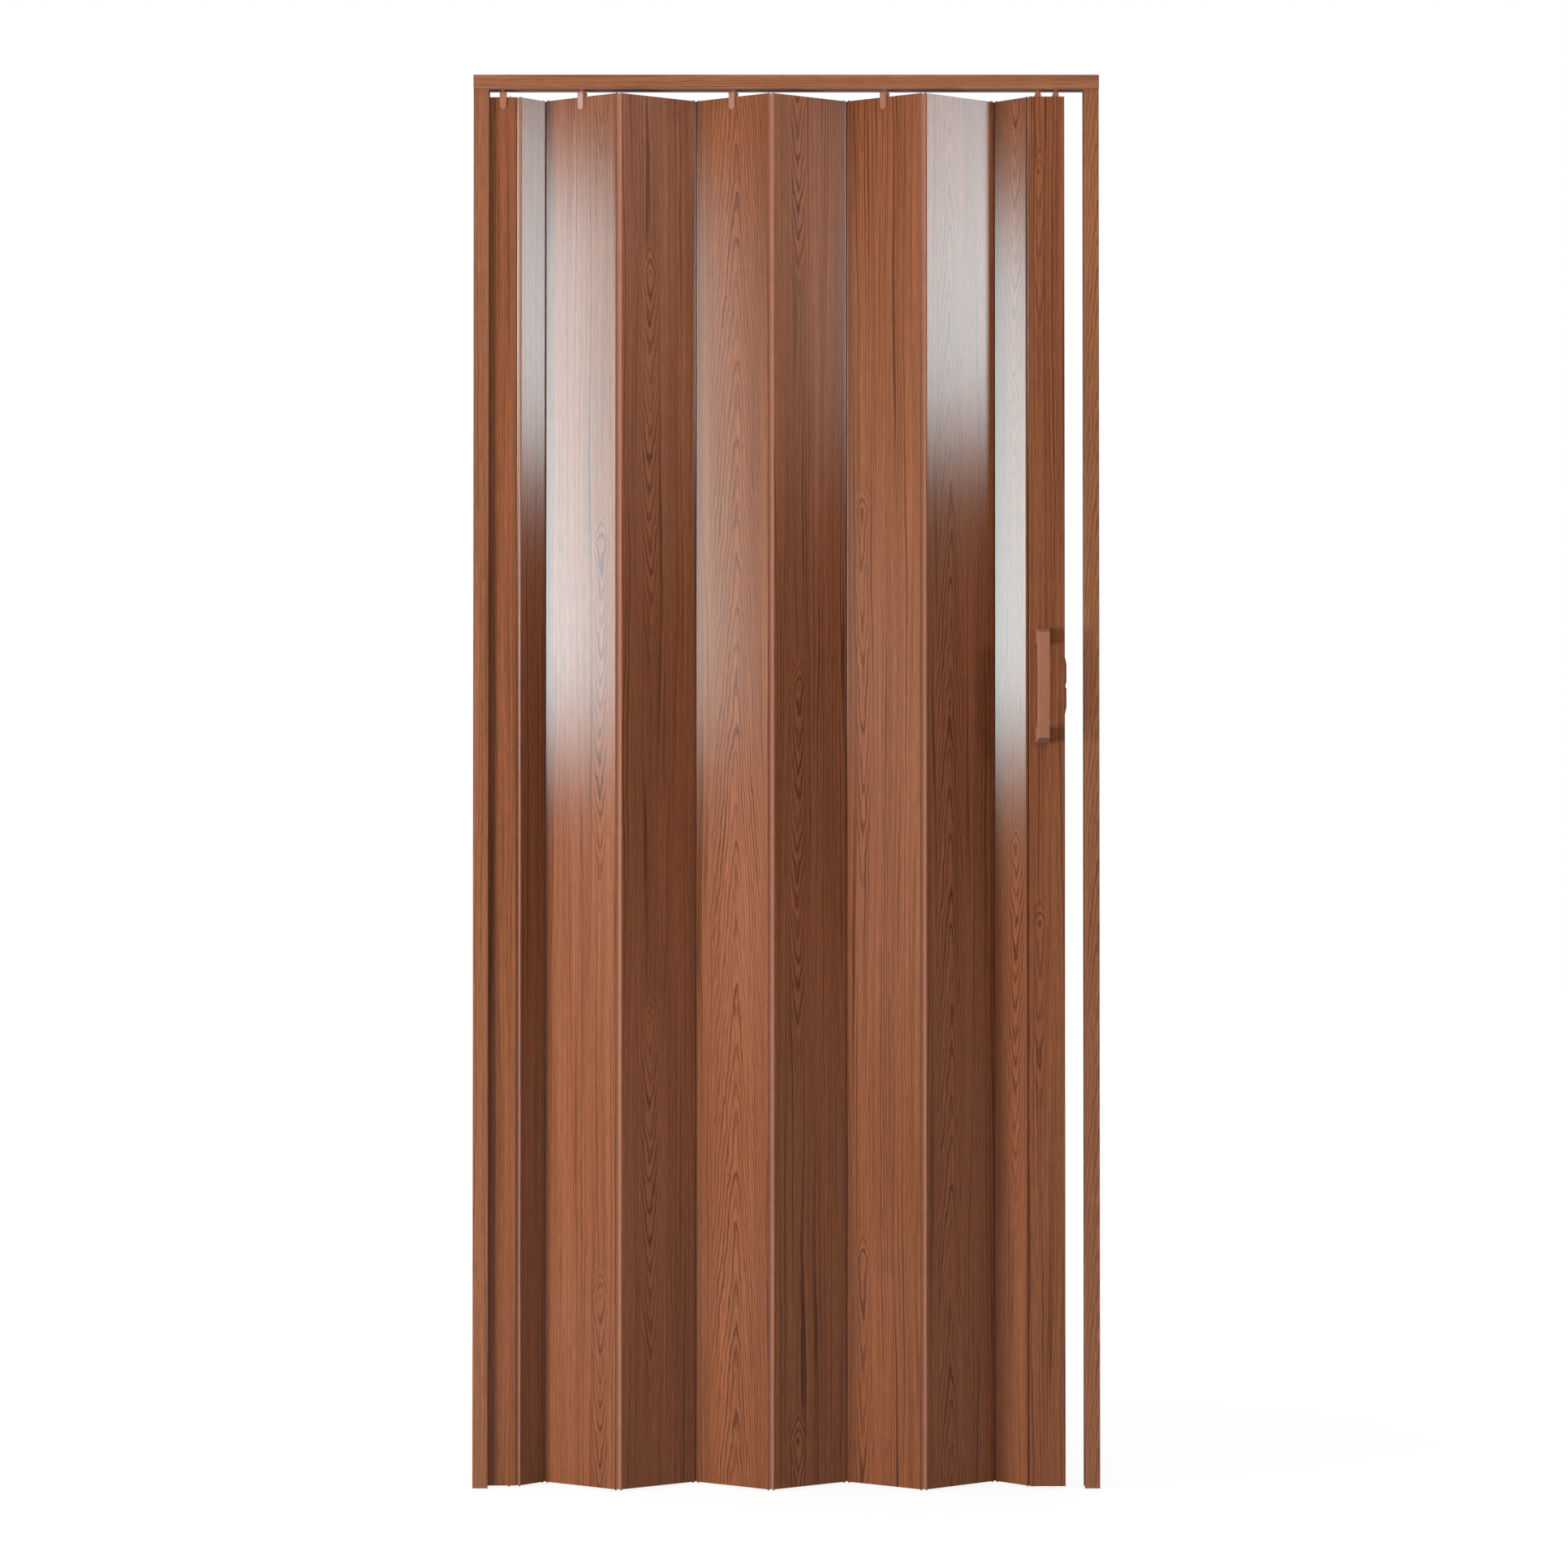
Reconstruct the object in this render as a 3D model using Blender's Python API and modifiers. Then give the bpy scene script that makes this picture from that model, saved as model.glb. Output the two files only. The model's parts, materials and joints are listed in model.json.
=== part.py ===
"""Folding accordion door in its rail and jambs, in metres, +Z up, front towards -Y.

The door hangs from a C-shaped head rail. A starter profile stands in the left jamb, and from
it a chain of hinge strips and hollow panels runs to a lead post with a handle on each face.
Every hinge strip turns on two steel pins, one for each panel that it joins.
"""
import math

import bmesh
import bpy

MM = 0.001

# Frame: head rail and jambs
FRAME_WIDTH = 900 * MM
FRAME_HEIGHT = 2030 * MM
RAIL_DEPTH = 32 * MM
RAIL_HEIGHT = 20 * MM
RAIL_WALL = 1.8 * MM
TRACK_SLOT = 9 * MM
JAMB_DEPTH = 24 * MM
JAMB_FACE = 22 * MM
JAMB_WALL = 1.8 * MM
FIXING_HOLE = 4.5 * MM
FIXING_COUNT = 3
FIXING_INSET = 120 * MM

# Panels and their hinges
PANEL_COUNT = 6
PANEL_LENGTH = 119.4 * MM
HALF_LEFT_LENGTH = 43 * MM
HALF_RIGHT_LENGTH = 55.1 * MM
PANEL_THICKNESS = 6.4 * MM
PANEL_SKIN = 0.9 * MM
CELL_PITCH = 20 * MM
CELL_END = 6.5 * MM
TOP_GAP = 10.2 * MM
FLOOR_GAP = 2.5 * MM
STRIP_LENGTH = 7.2 * MM
LEFT_STRIP_LENGTH = 15 * MM
TUBE_RADIUS = 2.35 * MM
STRIP_CREST = 0.55 * MM
STRIP_PLATE = 1.05 * MM
END_STRIP_WEB = 1.6 * MM
PIN_RADIUS = 1.25 * MM
PIN_PROUD = 2.1 * MM
PIN_BEVEL = 0.6 * MM
PIN_CLEARANCE = 0.2 * MM
SOCKET_CLEARANCE = 0.15 * MM

# Angles of the fold at rest, in degrees
LAST_PANEL_EXTRA = 3.3
LEFT_STRIP_ANGLE = 5.0
RIGHT_STRIP_ANGLE = 4.0
REST_OPENING = 27.3 * MM

# Mouths of the hinge sockets, in degrees from the panel's outward axis
CONVEX_LIP = 70.0
CONCAVE_LIP = 68.0
LEFT_STRIP_MOUTH = (-27.0, 68.0)
RIGHT_STRIP_MOUTH = (10.0, 82.0)

# Starter profile in the left jamb
STARTER_PIN_INSET = 51.8 * MM
STARTER_FLAP = 9.4 * MM
STARTER_FLAP_THICKNESS = 0.7 * MM
STARTER_FOOT = 3 * MM
STARTER_BACK_LIP = 112.0

# Lead post
POST_WIDTH = 51.6 * MM
POST_DEPTH = 16.8 * MM
POST_WALL = 1.5 * MM
POST_LIP = 4.7 * MM
POST_BLOCK = 4.2 * MM
POST_MOUTH = 1.2 * MM

# Glides
GLIDE_WIDTH = 9.6 * MM
GLIDE_TAB = 2.2 * MM
GLIDE_RISE = 7 * MM
GLIDE_DROP = 17.5 * MM
NECK_RADIUS = 1.7 * MM
HEAD_RADIUS = 7 * MM
HEAD_HEIGHT = 5 * MM
HEAD_CHAMFER = 1.2 * MM
STARTER_GLIDE_OFFSET = 10 * MM
POST_GLIDE_WIDTH = 9 * MM
POST_GLIDE_PLUG = 15 * MM
POST_GLIDE_SHOULDER = 3 * MM
POST_GLIDE_TOP = 6.4 * MM
POST_GLIDE_OFFSETS = (4.8 * MM, 30.3 * MM)

# Handles, their bolts and the catch
HANDLE_HEIGHT = 1151 * MM
HANDLE_LENGTH = 166 * MM
HANDLE_WIDTH = 19.6 * MM
HANDLE_REACH = 33 * MM
HANDLE_BOW = 6 * MM
HANDLE_BAR = 13 * MM
HANDLE_FOOT = 23 * MM
HANDLE_SLOPE = 6.8 * MM
HANDLE_DRAFT = 1.25 * MM
HANDLE_BEVEL = 1 * MM
HANDLE_OFFSET = 14.5 * MM
BOLT_RADIUS = 2 * MM
BOLT_BITE = 12 * MM
BOLT_CLEARANCE = 0.3 * MM
CATCH_LENGTH = 82 * MM
CATCH_DEPTH = 10 * MM
CATCH_PROUD = 2.2 * MM
CATCH_SLOPE = 10 * MM
CATCH_NOTCH = 7 * MM
CATCH_NOTCH_DEPTH = 1.2 * MM
STRIKER_THICKNESS = 3 * MM

# Fits and facets
SEAT_GAP = 0.3 * MM
WELD_DISTANCE = 0.001 * MM
ARC_STEP = 20.0
ROUND_SIDES = 12
HEAD_SIDES = 20

RAIL_BOTTOM = FRAME_HEIGHT - RAIL_HEIGHT
PANEL_BOTTOM = FLOOR_GAP
PANEL_TOP = RAIL_BOTTOM - TOP_GAP
PANEL_HEIGHT = PANEL_TOP - PANEL_BOTTOM
HALF_THICKNESS = PANEL_THICKNESS / 2
SOCKET_RADIUS = TUBE_RADIUS + SOCKET_CLEARANCE
BORE_RADIUS = PIN_RADIUS + PIN_CLEARANCE
STARTER_PIN_X = -FRAME_WIDTH / 2 + STARTER_PIN_INSET
POST_RIGHT_X = FRAME_WIDTH / 2 - JAMB_FACE - REST_OPENING
POST_PIN_X = POST_RIGHT_X - POST_WIDTH + POST_LIP
POST_RIGHT = POST_WIDTH - POST_LIP
FOOT_GAP_LENGTH = HANDLE_LENGTH - 2 * HANDLE_FOOT


# Scene and materials

def clear_scene():
    for item in list(bpy.data.objects):
        bpy.data.objects.remove(item, do_unlink=True)


def make_collection(name):
    collection = bpy.data.collections.new(name)
    bpy.context.scene.collection.children.link(collection)
    return collection


def make_material(name, colour, roughness, metallic=0.0):
    material = bpy.data.materials.new(name)
    material.use_nodes = True
    shader = material.node_tree.nodes["Principled BSDF"]
    shader.inputs["Base Color"].default_value = (*colour, 1.0)
    shader.inputs["Roughness"].default_value = roughness
    shader.inputs["Metallic"].default_value = metallic
    material.diffuse_color = (*colour, 1.0)
    return material


clear_scene()
PARTS = make_collection("accordion_door")
CUTTERS = make_collection("accordion_door_cutters")
WOOD = make_material("wood_print_pvc", (0.26, 0.10, 0.05), 0.3)
SOFT = make_material("soft_pvc", (0.36, 0.17, 0.11), 0.45)
PLASTIC = make_material("moulded_plastic", (0.38, 0.18, 0.11), 0.4)
STEEL = make_material("steel", (0.55, 0.55, 0.56), 0.35, 1.0)


# Outlines

def arc(centre, radius, start, end):
    """Points on a circle from one angle to another, in degrees, ends included."""
    steps = max(2, math.ceil(abs(end - start) / ARC_STEP))
    angles = [math.radians(start + (end - start) * i / steps) for i in range(steps + 1)]
    return [(centre[0] + radius * math.cos(a), centre[1] + radius * math.sin(a)) for a in angles]


def circle(centre, radius):
    turns = [2 * math.pi * i / ROUND_SIDES for i in range(ROUND_SIDES)]
    return [(centre[0] + radius * math.cos(a), centre[1] + radius * math.sin(a)) for a in turns]


def rectangle(low_x, low_y, high_x, high_y):
    return [(low_x, low_y), (high_x, low_y), (high_x, high_y), (low_x, high_y)]


def socket_end(centre_x, turn, low, high):
    """Round edge of a panel with its pin socket; the mouth spans low to high from the outward axis."""
    centre = (centre_x, 0.0)
    points = arc(centre, HALF_THICKNESS, turn - 90, turn + low)
    points += arc(centre, SOCKET_RADIUS, turn + low, turn + high - 360)
    points += arc(centre, HALF_THICKNESS, turn + high, turn + 90)
    return points


def fold_mouth(right_end, convex_front):
    """Mouth of a socket that holds a fold strip, counter-clockwise from the outward axis."""
    if right_end == convex_front:
        return -CONVEX_LIP, CONCAVE_LIP
    return -CONCAVE_LIP, CONVEX_LIP


def panel_loops(length, left_mouth, right_mouth):
    outline = socket_end(length, 0, *right_mouth) + socket_end(0, 180, *left_mouth)
    room = length - 2 * CELL_END
    cells = max(1, round(room / CELL_PITCH))
    pitch = (room + PANEL_SKIN) / cells
    side = HALF_THICKNESS - PANEL_SKIN
    starts = [CELL_END + pitch * i for i in range(cells)]
    return [outline] + [rectangle(x, -side, x + pitch - PANEL_SKIN, side) for x in starts]


def fold_strip_loops(convex_front):
    """Two pin tubes with a plate on the convex side, which rises to a crest along its middle."""
    base = -TUBE_RADIUS + STRIP_PLATE
    inner = math.degrees(math.asin(-base / TUBE_RADIUS))
    outline = arc((0, 0), TUBE_RADIUS, -inner, 270)
    outline += [(STRIP_LENGTH / 2, -TUBE_RADIUS - STRIP_CREST)]
    outline += arc((STRIP_LENGTH, 0), TUBE_RADIUS, -90, 180 + inner)
    loops = [outline, circle((0, 0), BORE_RADIUS), circle((STRIP_LENGTH, 0), BORE_RADIUS)]
    if convex_front:
        return loops
    return [[(x, -y) for x, y in loop] for loop in loops]


def end_strip_loops(length):
    """Two pin tubes joined by a flat web on their centre line."""
    inner = math.degrees(math.asin(END_STRIP_WEB / 2 / TUBE_RADIUS))
    outline = arc((0, 0), TUBE_RADIUS, inner, 360 - inner)
    outline += arc((length, 0), TUBE_RADIUS, 180 + inner, 540 - inner)
    return [outline, circle((0, 0), BORE_RADIUS), circle((length, 0), BORE_RADIUS)]


def starter_loops():
    """Flat profile with a foot in the jamb, a pin socket, and a flap that covers the pin in front."""
    foot_left = -STARTER_PIN_INSET + JAMB_WALL + SEAT_GAP
    foot_half = JAMB_DEPTH / 2 - JAMB_WALL - SEAT_GAP
    foot_right = foot_left + STARTER_FOOT
    flap_inside = -HALF_THICKNESS + STARTER_FLAP_THICKNESS
    outline = [(foot_left, -foot_half), (foot_right, -foot_half), (foot_right, -HALF_THICKNESS)]
    outline += [(STARTER_FLAP, -HALF_THICKNESS), (STARTER_FLAP, flap_inside)]
    outline += arc((0, 0), SOCKET_RADIUS, 270, STARTER_BACK_LIP)
    outline += arc((0, 0), HALF_THICKNESS, STARTER_BACK_LIP, 90)[:1]
    outline += [(-HALF_THICKNESS, HALF_THICKNESS), (foot_right, HALF_THICKNESS)]
    outline += [(foot_right, foot_half), (foot_left, foot_half)]
    side = HALF_THICKNESS - PANEL_SKIN
    cell_left = foot_right + PANEL_SKIN
    return [outline, rectangle(cell_left, -side, -CELL_END, side)]


def post_loops():
    """Hollow post; its left edge holds the pin socket behind a lip that covers it in front."""
    half = POST_DEPTH / 2
    inside = half - POST_WALL
    mouth = math.degrees(math.acos(-POST_MOUTH / SOCKET_RADIUS))
    outline = [(-POST_LIP, -half), (POST_RIGHT, -half), (POST_RIGHT, half), (-POST_MOUTH, half)]
    outline += arc((0, 0), SOCKET_RADIUS, mouth, -mouth)
    outline += [(-POST_MOUTH, -inside), (-POST_LIP, -inside)]
    return [outline, rectangle(POST_BLOCK, -inside, POST_RIGHT - POST_WALL, inside)]


def rail_loops():
    """C channel seen from its end: x is the depth, y the height over the rail's underside."""
    half = RAIL_DEPTH / 2
    inside = half - RAIL_WALL
    slot = TRACK_SLOT / 2
    roof = RAIL_HEIGHT - RAIL_WALL
    outline = [(-half, 0), (-slot, 0), (-slot, RAIL_WALL), (-inside, RAIL_WALL), (-inside, roof)]
    outline += [(inside, roof), (inside, RAIL_WALL), (slot, RAIL_WALL), (slot, 0), (half, 0)]
    return [outline + [(half, RAIL_HEIGHT), (-half, RAIL_HEIGHT)]]


def jamb_loops():
    """U channel that opens towards +X, with its web on x = 0."""
    half = JAMB_DEPTH / 2
    inside = half - JAMB_WALL
    outline = [(0, -half), (JAMB_FACE, -half), (JAMB_FACE, -inside), (JAMB_WALL, -inside)]
    return [outline + [(JAMB_WALL, inside), (JAMB_FACE, inside), (JAMB_FACE, half), (0, half)]]


# Solids

def add_object(name, mesh, material, collection=PARTS):
    part = bpy.data.objects.new(name, mesh)
    part.data.materials.clear()
    part.data.materials.append(material)
    collection.objects.link(part)
    return part


def outline_mesh(name, loops, depth):
    """Extrude 2D loops from z = 0 to z = depth; loops after the first are holes."""
    curve = bpy.data.curves.new(name, "CURVE")
    curve.dimensions = "2D"
    curve.fill_mode = "BOTH"
    curve.extrude = depth / 2
    for loop in loops:
        spline = curve.splines.new("POLY")
        spline.points.add(len(loop) - 1)
        for point, (x, y) in zip(spline.points, loop):
            point.co = (x, y, 0.0, 1.0)
        spline.use_cyclic_u = True
    source = bpy.data.objects.new(name, curve)
    PARTS.objects.link(source)
    mesh = evaluated_mesh(source)
    bpy.data.objects.remove(source, do_unlink=True)
    edit = bmesh.new()
    edit.from_mesh(mesh)
    bmesh.ops.remove_doubles(edit, verts=edit.verts, dist=WELD_DISTANCE)
    bmesh.ops.translate(edit, verts=edit.verts, vec=(0.0, 0.0, depth / 2))
    bmesh.ops.recalc_face_normals(edit, faces=edit.faces)
    edit.to_mesh(mesh)
    edit.free()
    mesh.name = name
    return mesh


def evaluated_mesh(source):
    bpy.context.view_layer.update()
    graph = bpy.context.evaluated_depsgraph_get()
    return bpy.data.meshes.new_from_object(source.evaluated_get(graph))


def extrusion(name, loops, depth, material, joint=None, location=(0.0, 0.0, 0.0)):
    part = add_object(name, outline_mesh(name, loops, depth), material)
    part.parent = joint
    part.location = location
    return part


def hide_cutter(cutter):
    cutter.hide_render = True
    cutter.display_type = "WIRE"
    for collection in list(cutter.users_collection):
        collection.objects.unlink(cutter)
    CUTTERS.objects.link(cutter)


def cylinder_cutter(name, radius, length, location, rotation, joint=None):
    bpy.ops.mesh.primitive_cylinder_add(
        vertices=ROUND_SIDES, radius=radius, depth=length, location=location, rotation=rotation)
    cutter = bpy.context.active_object
    cutter.name = name
    cutter.parent = joint
    hide_cutter(cutter)
    return cutter


def box_cutter(name, size, location, joint=None):
    bpy.ops.mesh.primitive_cube_add(size=1.0, location=location)
    cutter = bpy.context.active_object
    cutter.name = name
    cutter.data.transform(scale_matrix(size))
    cutter.parent = joint
    hide_cutter(cutter)
    return cutter


def scale_matrix(size):
    return [[size[0], 0, 0, 0], [0, size[1], 0, 0], [0, 0, size[2], 0], [0, 0, 0, 1]]


def boolean(part, tool, operation):
    modifier = part.modifiers.new(tool.name, "BOOLEAN")
    modifier.operation = operation
    modifier.object = tool
    modifier.solver = "EXACT"


def turned(name, profile):
    """A profile of (radius, height) points turned about Z, from top to bottom on its outer side."""
    mesh = bpy.data.meshes.new(name)
    edges = [(i, i + 1) for i in range(len(profile) - 1)]
    mesh.from_pydata([(radius, 0.0, height) for radius, height in profile], edges, [])
    tool = bpy.data.objects.new(name, mesh)
    CUTTERS.objects.link(tool)
    screw = tool.modifiers.new("turn", "SCREW")
    screw.steps = HEAD_SIDES
    screw.render_steps = HEAD_SIDES
    screw.use_merge_vertices = True
    screw.merge_threshold = WELD_DISTANCE
    tool.hide_render = True
    tool.display_type = "WIRE"
    return tool


# The fold: where each link lies at rest

def wave_links(fold):
    """Links of the chain as (name, length, angle in degrees), with the end panels closing the wave."""
    depth = PANEL_LENGTH / 2 * math.sin(math.radians(fold))
    last_angle = fold + LAST_PANEL_EXTRA
    last_depth = PANEL_LENGTH * math.sin(math.radians(last_angle)) - depth
    left_rise = depth - LEFT_STRIP_LENGTH * math.sin(math.radians(LEFT_STRIP_ANGLE))
    right_drop = last_depth - STRIP_LENGTH * math.sin(math.radians(RIGHT_STRIP_ANGLE))
    left_angle = math.degrees(math.asin(left_rise / HALF_LEFT_LENGTH))
    right_angle = math.degrees(math.asin(right_drop / HALF_RIGHT_LENGTH))
    links = [("hinge_strip_1", LEFT_STRIP_LENGTH, LEFT_STRIP_ANGLE)]
    links += [("half_panel_left", HALF_LEFT_LENGTH, left_angle)]
    for number in range(1, PANEL_COUNT + 1):
        angle = -fold if number % 2 else fold
        if number == PANEL_COUNT:
            angle = last_angle
        links += [(f"hinge_strip_{number + 1}", STRIP_LENGTH, 0.0)]
        links += [(f"panel_{number}", PANEL_LENGTH, angle)]
    links += [(f"hinge_strip_{PANEL_COUNT + 2}", STRIP_LENGTH, 0.0)]
    links += [("half_panel_right", HALF_RIGHT_LENGTH, -right_angle)]
    links += [(f"hinge_strip_{PANEL_COUNT + 3}", STRIP_LENGTH, -RIGHT_STRIP_ANGLE)]
    return links


def wave_width(links):
    return sum(length * math.cos(math.radians(angle)) for _, length, angle in links)


def solve_fold(width):
    """Fold angle at which the chain spans the given width, found by halving an interval."""
    reach = 2 * min(HALF_LEFT_LENGTH, HALF_RIGHT_LENGTH) / PANEL_LENGTH
    low, high = 0.0, math.degrees(math.asin(min(1.0, reach))) - LAST_PANEL_EXTRA
    for _ in range(60):
        middle = (low + high) / 2
        if wave_width(wave_links(middle)) > width:
            low = middle
        else:
            high = middle
    return (low + high) / 2


def make_joint(name, parent, location, angle):
    """An empty on a pin's axis, which carries everything that turns about that pin."""
    joint = bpy.data.objects.new(name, None)
    PARTS.objects.link(joint)
    joint.parent = parent
    joint.location = location
    joint.rotation_euler = (0.0, 0.0, math.radians(angle))
    return joint


# Pieces

def make_pin(name, joint, x):
    bpy.ops.mesh.primitive_cylinder_add(
        vertices=ROUND_SIDES, radius=PIN_RADIUS, depth=PANEL_HEIGHT + 2 * PIN_PROUD,
        location=(x, 0.0, PANEL_BOTTOM + PANEL_HEIGHT / 2))
    pin = bpy.context.active_object
    pin.name = name
    pin.data.name = name
    pin.data.materials.append(STEEL)
    pin.parent = joint
    for collection in list(pin.users_collection):
        collection.objects.unlink(pin)
    PARTS.objects.link(pin)
    bevel = pin.modifiers.new("tip", "BEVEL")
    bevel.width = PIN_BEVEL
    bevel.segments = 1
    bevel.angle_limit = math.radians(60)
    pin.data.shade_smooth()
    pin.data.set_sharp_from_angle(angle=math.radians(40))


def make_strip(name, number, joint, loops, length):
    extrusion(name, loops, PANEL_HEIGHT, SOFT, joint, (0.0, 0.0, PANEL_BOTTOM))
    make_pin(f"hinge_pin_{number}_left", joint, 0.0)
    make_pin(f"hinge_pin_{number}_right", joint, length)


def glide_turning(name, bottom):
    """Neck and round head of a glide, from inside its body up into the rail; z = 0 is the panel top."""
    head_low = TOP_GAP + RAIL_WALL + SEAT_GAP
    head_high = head_low + HEAD_HEIGHT
    profile = [(0.0, head_high), (HEAD_RADIUS - HEAD_CHAMFER, head_high)]
    profile += [(HEAD_RADIUS, head_high - HEAD_CHAMFER), (HEAD_RADIUS, head_low)]
    profile += [(NECK_RADIUS, head_low), (NECK_RADIUS, bottom), (0.0, bottom)]
    return turned(name, profile)


def clip_glide_mesh():
    """Glide that straddles a panel's top edge with a round-ended tab on each face."""
    half = GLIDE_WIDTH / 2
    thickness = PANEL_THICKNESS + 2 * SEAT_GAP + 2 * GLIDE_TAB
    tab = arc((0.0, -GLIDE_DROP + half), half, 180, 360)
    body = extrusion("clip_body", [tab + [(half, GLIDE_RISE), (-half, GLIDE_RISE)]], thickness, PLASTIC)
    body.rotation_euler = (math.pi / 2, 0.0, 0.0)
    body.location = (0.0, thickness / 2, 0.0)
    slot_height = GLIDE_DROP * 2
    slot_size = (GLIDE_WIDTH * 2, PANEL_THICKNESS + 2 * SEAT_GAP, slot_height)
    slot = box_cutter("clip_slot", slot_size, (0.0, 0.0, SEAT_GAP - slot_height / 2))
    neck = glide_turning("clip_neck", GLIDE_RISE / 2)
    return finish_glide("clip_glide", body, [(slot, "DIFFERENCE"), (neck, "UNION")])


def post_glide_mesh():
    """Glide with a plug that fits in the open top of the hollow post."""
    half = POST_GLIDE_WIDTH / 2
    shoulder = half - (POST_GLIDE_TOP - POST_GLIDE_SHOULDER) / 4
    depth = POST_DEPTH - 2 * POST_WALL - 2 * SEAT_GAP
    outline = [(-half, -POST_GLIDE_PLUG), (half, -POST_GLIDE_PLUG), (half, POST_GLIDE_SHOULDER)]
    outline += [(shoulder, POST_GLIDE_TOP), (-shoulder, POST_GLIDE_TOP), (-half, POST_GLIDE_SHOULDER)]
    body = extrusion("plug_body", [outline], depth, PLASTIC)
    body.rotation_euler = (math.pi / 2, 0.0, 0.0)
    body.location = (0.0, depth / 2, 0.0)
    neck = glide_turning("plug_neck", POST_GLIDE_SHOULDER / 2)
    return finish_glide("post_glide", body, [(neck, "UNION")])


def finish_glide(name, body, cuts):
    """Bake a glide's body and cuts into one mesh in world axes, and remove what it was made from."""
    for tool, operation in cuts:
        boolean(body, tool, operation)
    mesh = evaluated_mesh(body)
    mesh.transform(body.matrix_world)
    mesh.name = name
    for item in [body] + [tool for tool, _ in cuts]:
        bpy.data.objects.remove(item, do_unlink=True)
    return mesh


def place_glide(name, mesh, joint, x):
    glide = add_object(name, mesh, PLASTIC)
    glide.parent = joint
    glide.location = (x, 0.0, PANEL_TOP)


def handle_mesh(name):
    """Bow handle: x across, y out from the post, z up, standing on y = 0 with its middle at z = 0."""
    half = HANDLE_LENGTH / 2
    gap = FOOT_GAP_LENGTH / 2
    front_half = half - HANDLE_SLOPE
    reach = HANDLE_REACH - SEAT_GAP
    steps = [i / 6 - 1 for i in range(13)]
    front = [(reach + HANDLE_BOW * (1 - t * t), t * front_half) for t in steps]
    back = [(reach - HANDLE_BAR + HANDLE_BOW * (1 - t * t), -t * gap) for t in steps]
    outline = [(0.0, -gap), (0.0, -half)] + front + [(0.0, half), (0.0, gap)] + back
    mesh = outline_mesh(name, [outline], HANDLE_WIDTH)
    edit = bmesh.new()
    edit.from_mesh(mesh)
    for vertex in edit.verts:
        out, up, across = vertex.co
        side = across - HANDLE_WIDTH / 2
        side *= 1 - 2 * HANDLE_DRAFT / HANDLE_WIDTH * out / reach
        vertex.co = (side, out, up)
    bmesh.ops.recalc_face_normals(edit, faces=edit.faces)
    edit.to_mesh(mesh)
    edit.free()
    return mesh


def make_handle(name, joint, front):
    """A handle on one face of the post, bored from its foot for the two through bolts."""
    turn = math.pi if front else 0.0
    face = -POST_DEPTH / 2 - SEAT_GAP if front else POST_DEPTH / 2 + SEAT_GAP
    handle = add_object(name, handle_mesh(name), PLASTIC)
    handle.parent = joint
    handle.location = (HANDLE_OFFSET, face, HANDLE_HEIGHT)
    handle.rotation_euler = (0.0, 0.0, turn)
    bevel = handle.modifiers.new("edges", "BEVEL")
    bevel.width = HANDLE_BEVEL
    bevel.segments = 1
    bevel.angle_limit = math.radians(40)
    return handle


def bolt_heights():
    offset = FOOT_GAP_LENGTH / 2 + HANDLE_FOOT / 2
    return [("upper", HANDLE_HEIGHT + offset), ("lower", HANDLE_HEIGHT - offset)]


def make_bolts(joint, pieces):
    """Through bolts between the two handles, each in its bore through the post and both feet."""
    length = POST_DEPTH + 2 * BOLT_BITE
    for which, height in bolt_heights():
        place = (HANDLE_OFFSET, 0.0, height)
        turn = (math.pi / 2, 0.0, 0.0)
        bore = cylinder_cutter(
            f"bolt_bore_{which}", BOLT_RADIUS + BOLT_CLEARANCE, length + 2 * BOLT_CLEARANCE,
            place, turn, joint)
        for piece in pieces:
            boolean(piece, bore, "DIFFERENCE")
        bpy.ops.mesh.primitive_cylinder_add(
            vertices=ROUND_SIDES, radius=BOLT_RADIUS, depth=length, location=place, rotation=turn)
        bolt = bpy.context.active_object
        bolt.name = f"handle_bolt_{which}"
        bolt.data.materials.append(STEEL)
        bolt.parent = joint
        for collection in list(bolt.users_collection):
            collection.objects.unlink(bolt)
        PARTS.objects.link(bolt)


def catch_loops():
    """Edge catch seen from the front: x is proud of the post, y runs up it, with a notch midway."""
    half = CATCH_LENGTH / 2
    notch = CATCH_NOTCH / 2
    flat = half - CATCH_SLOPE
    low = CATCH_PROUD - CATCH_NOTCH_DEPTH
    lower = [(0.0, -half), (CATCH_PROUD, -flat), (CATCH_PROUD, -notch), (low, -notch)]
    upper = [(x, -y) for x, y in reversed(lower)]
    return [lower + upper]


def fixing_heights(low, high):
    inset = low + FIXING_INSET
    span = high - low - 2 * FIXING_INSET
    return [inset + span * i / (FIXING_COUNT - 1) for i in range(FIXING_COUNT)]


def make_rail():
    rail = extrusion("head_rail", rail_loops(), FRAME_WIDTH, WOOD)
    rail.rotation_euler = (math.pi / 2, 0.0, math.pi / 2)
    rail.location = (-FRAME_WIDTH / 2, 0.0, RAIL_BOTTOM)
    roof = FRAME_HEIGHT - RAIL_WALL / 2
    for number, x in enumerate(fixing_heights(-FRAME_WIDTH / 2, FRAME_WIDTH / 2), 1):
        hole = cylinder_cutter(
            f"rail_fixing_{number}", FIXING_HOLE / 2, RAIL_WALL * 3, (x, 0.0, roof), (0.0, 0.0, 0.0))
        boolean(rail, hole, "DIFFERENCE")


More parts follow.
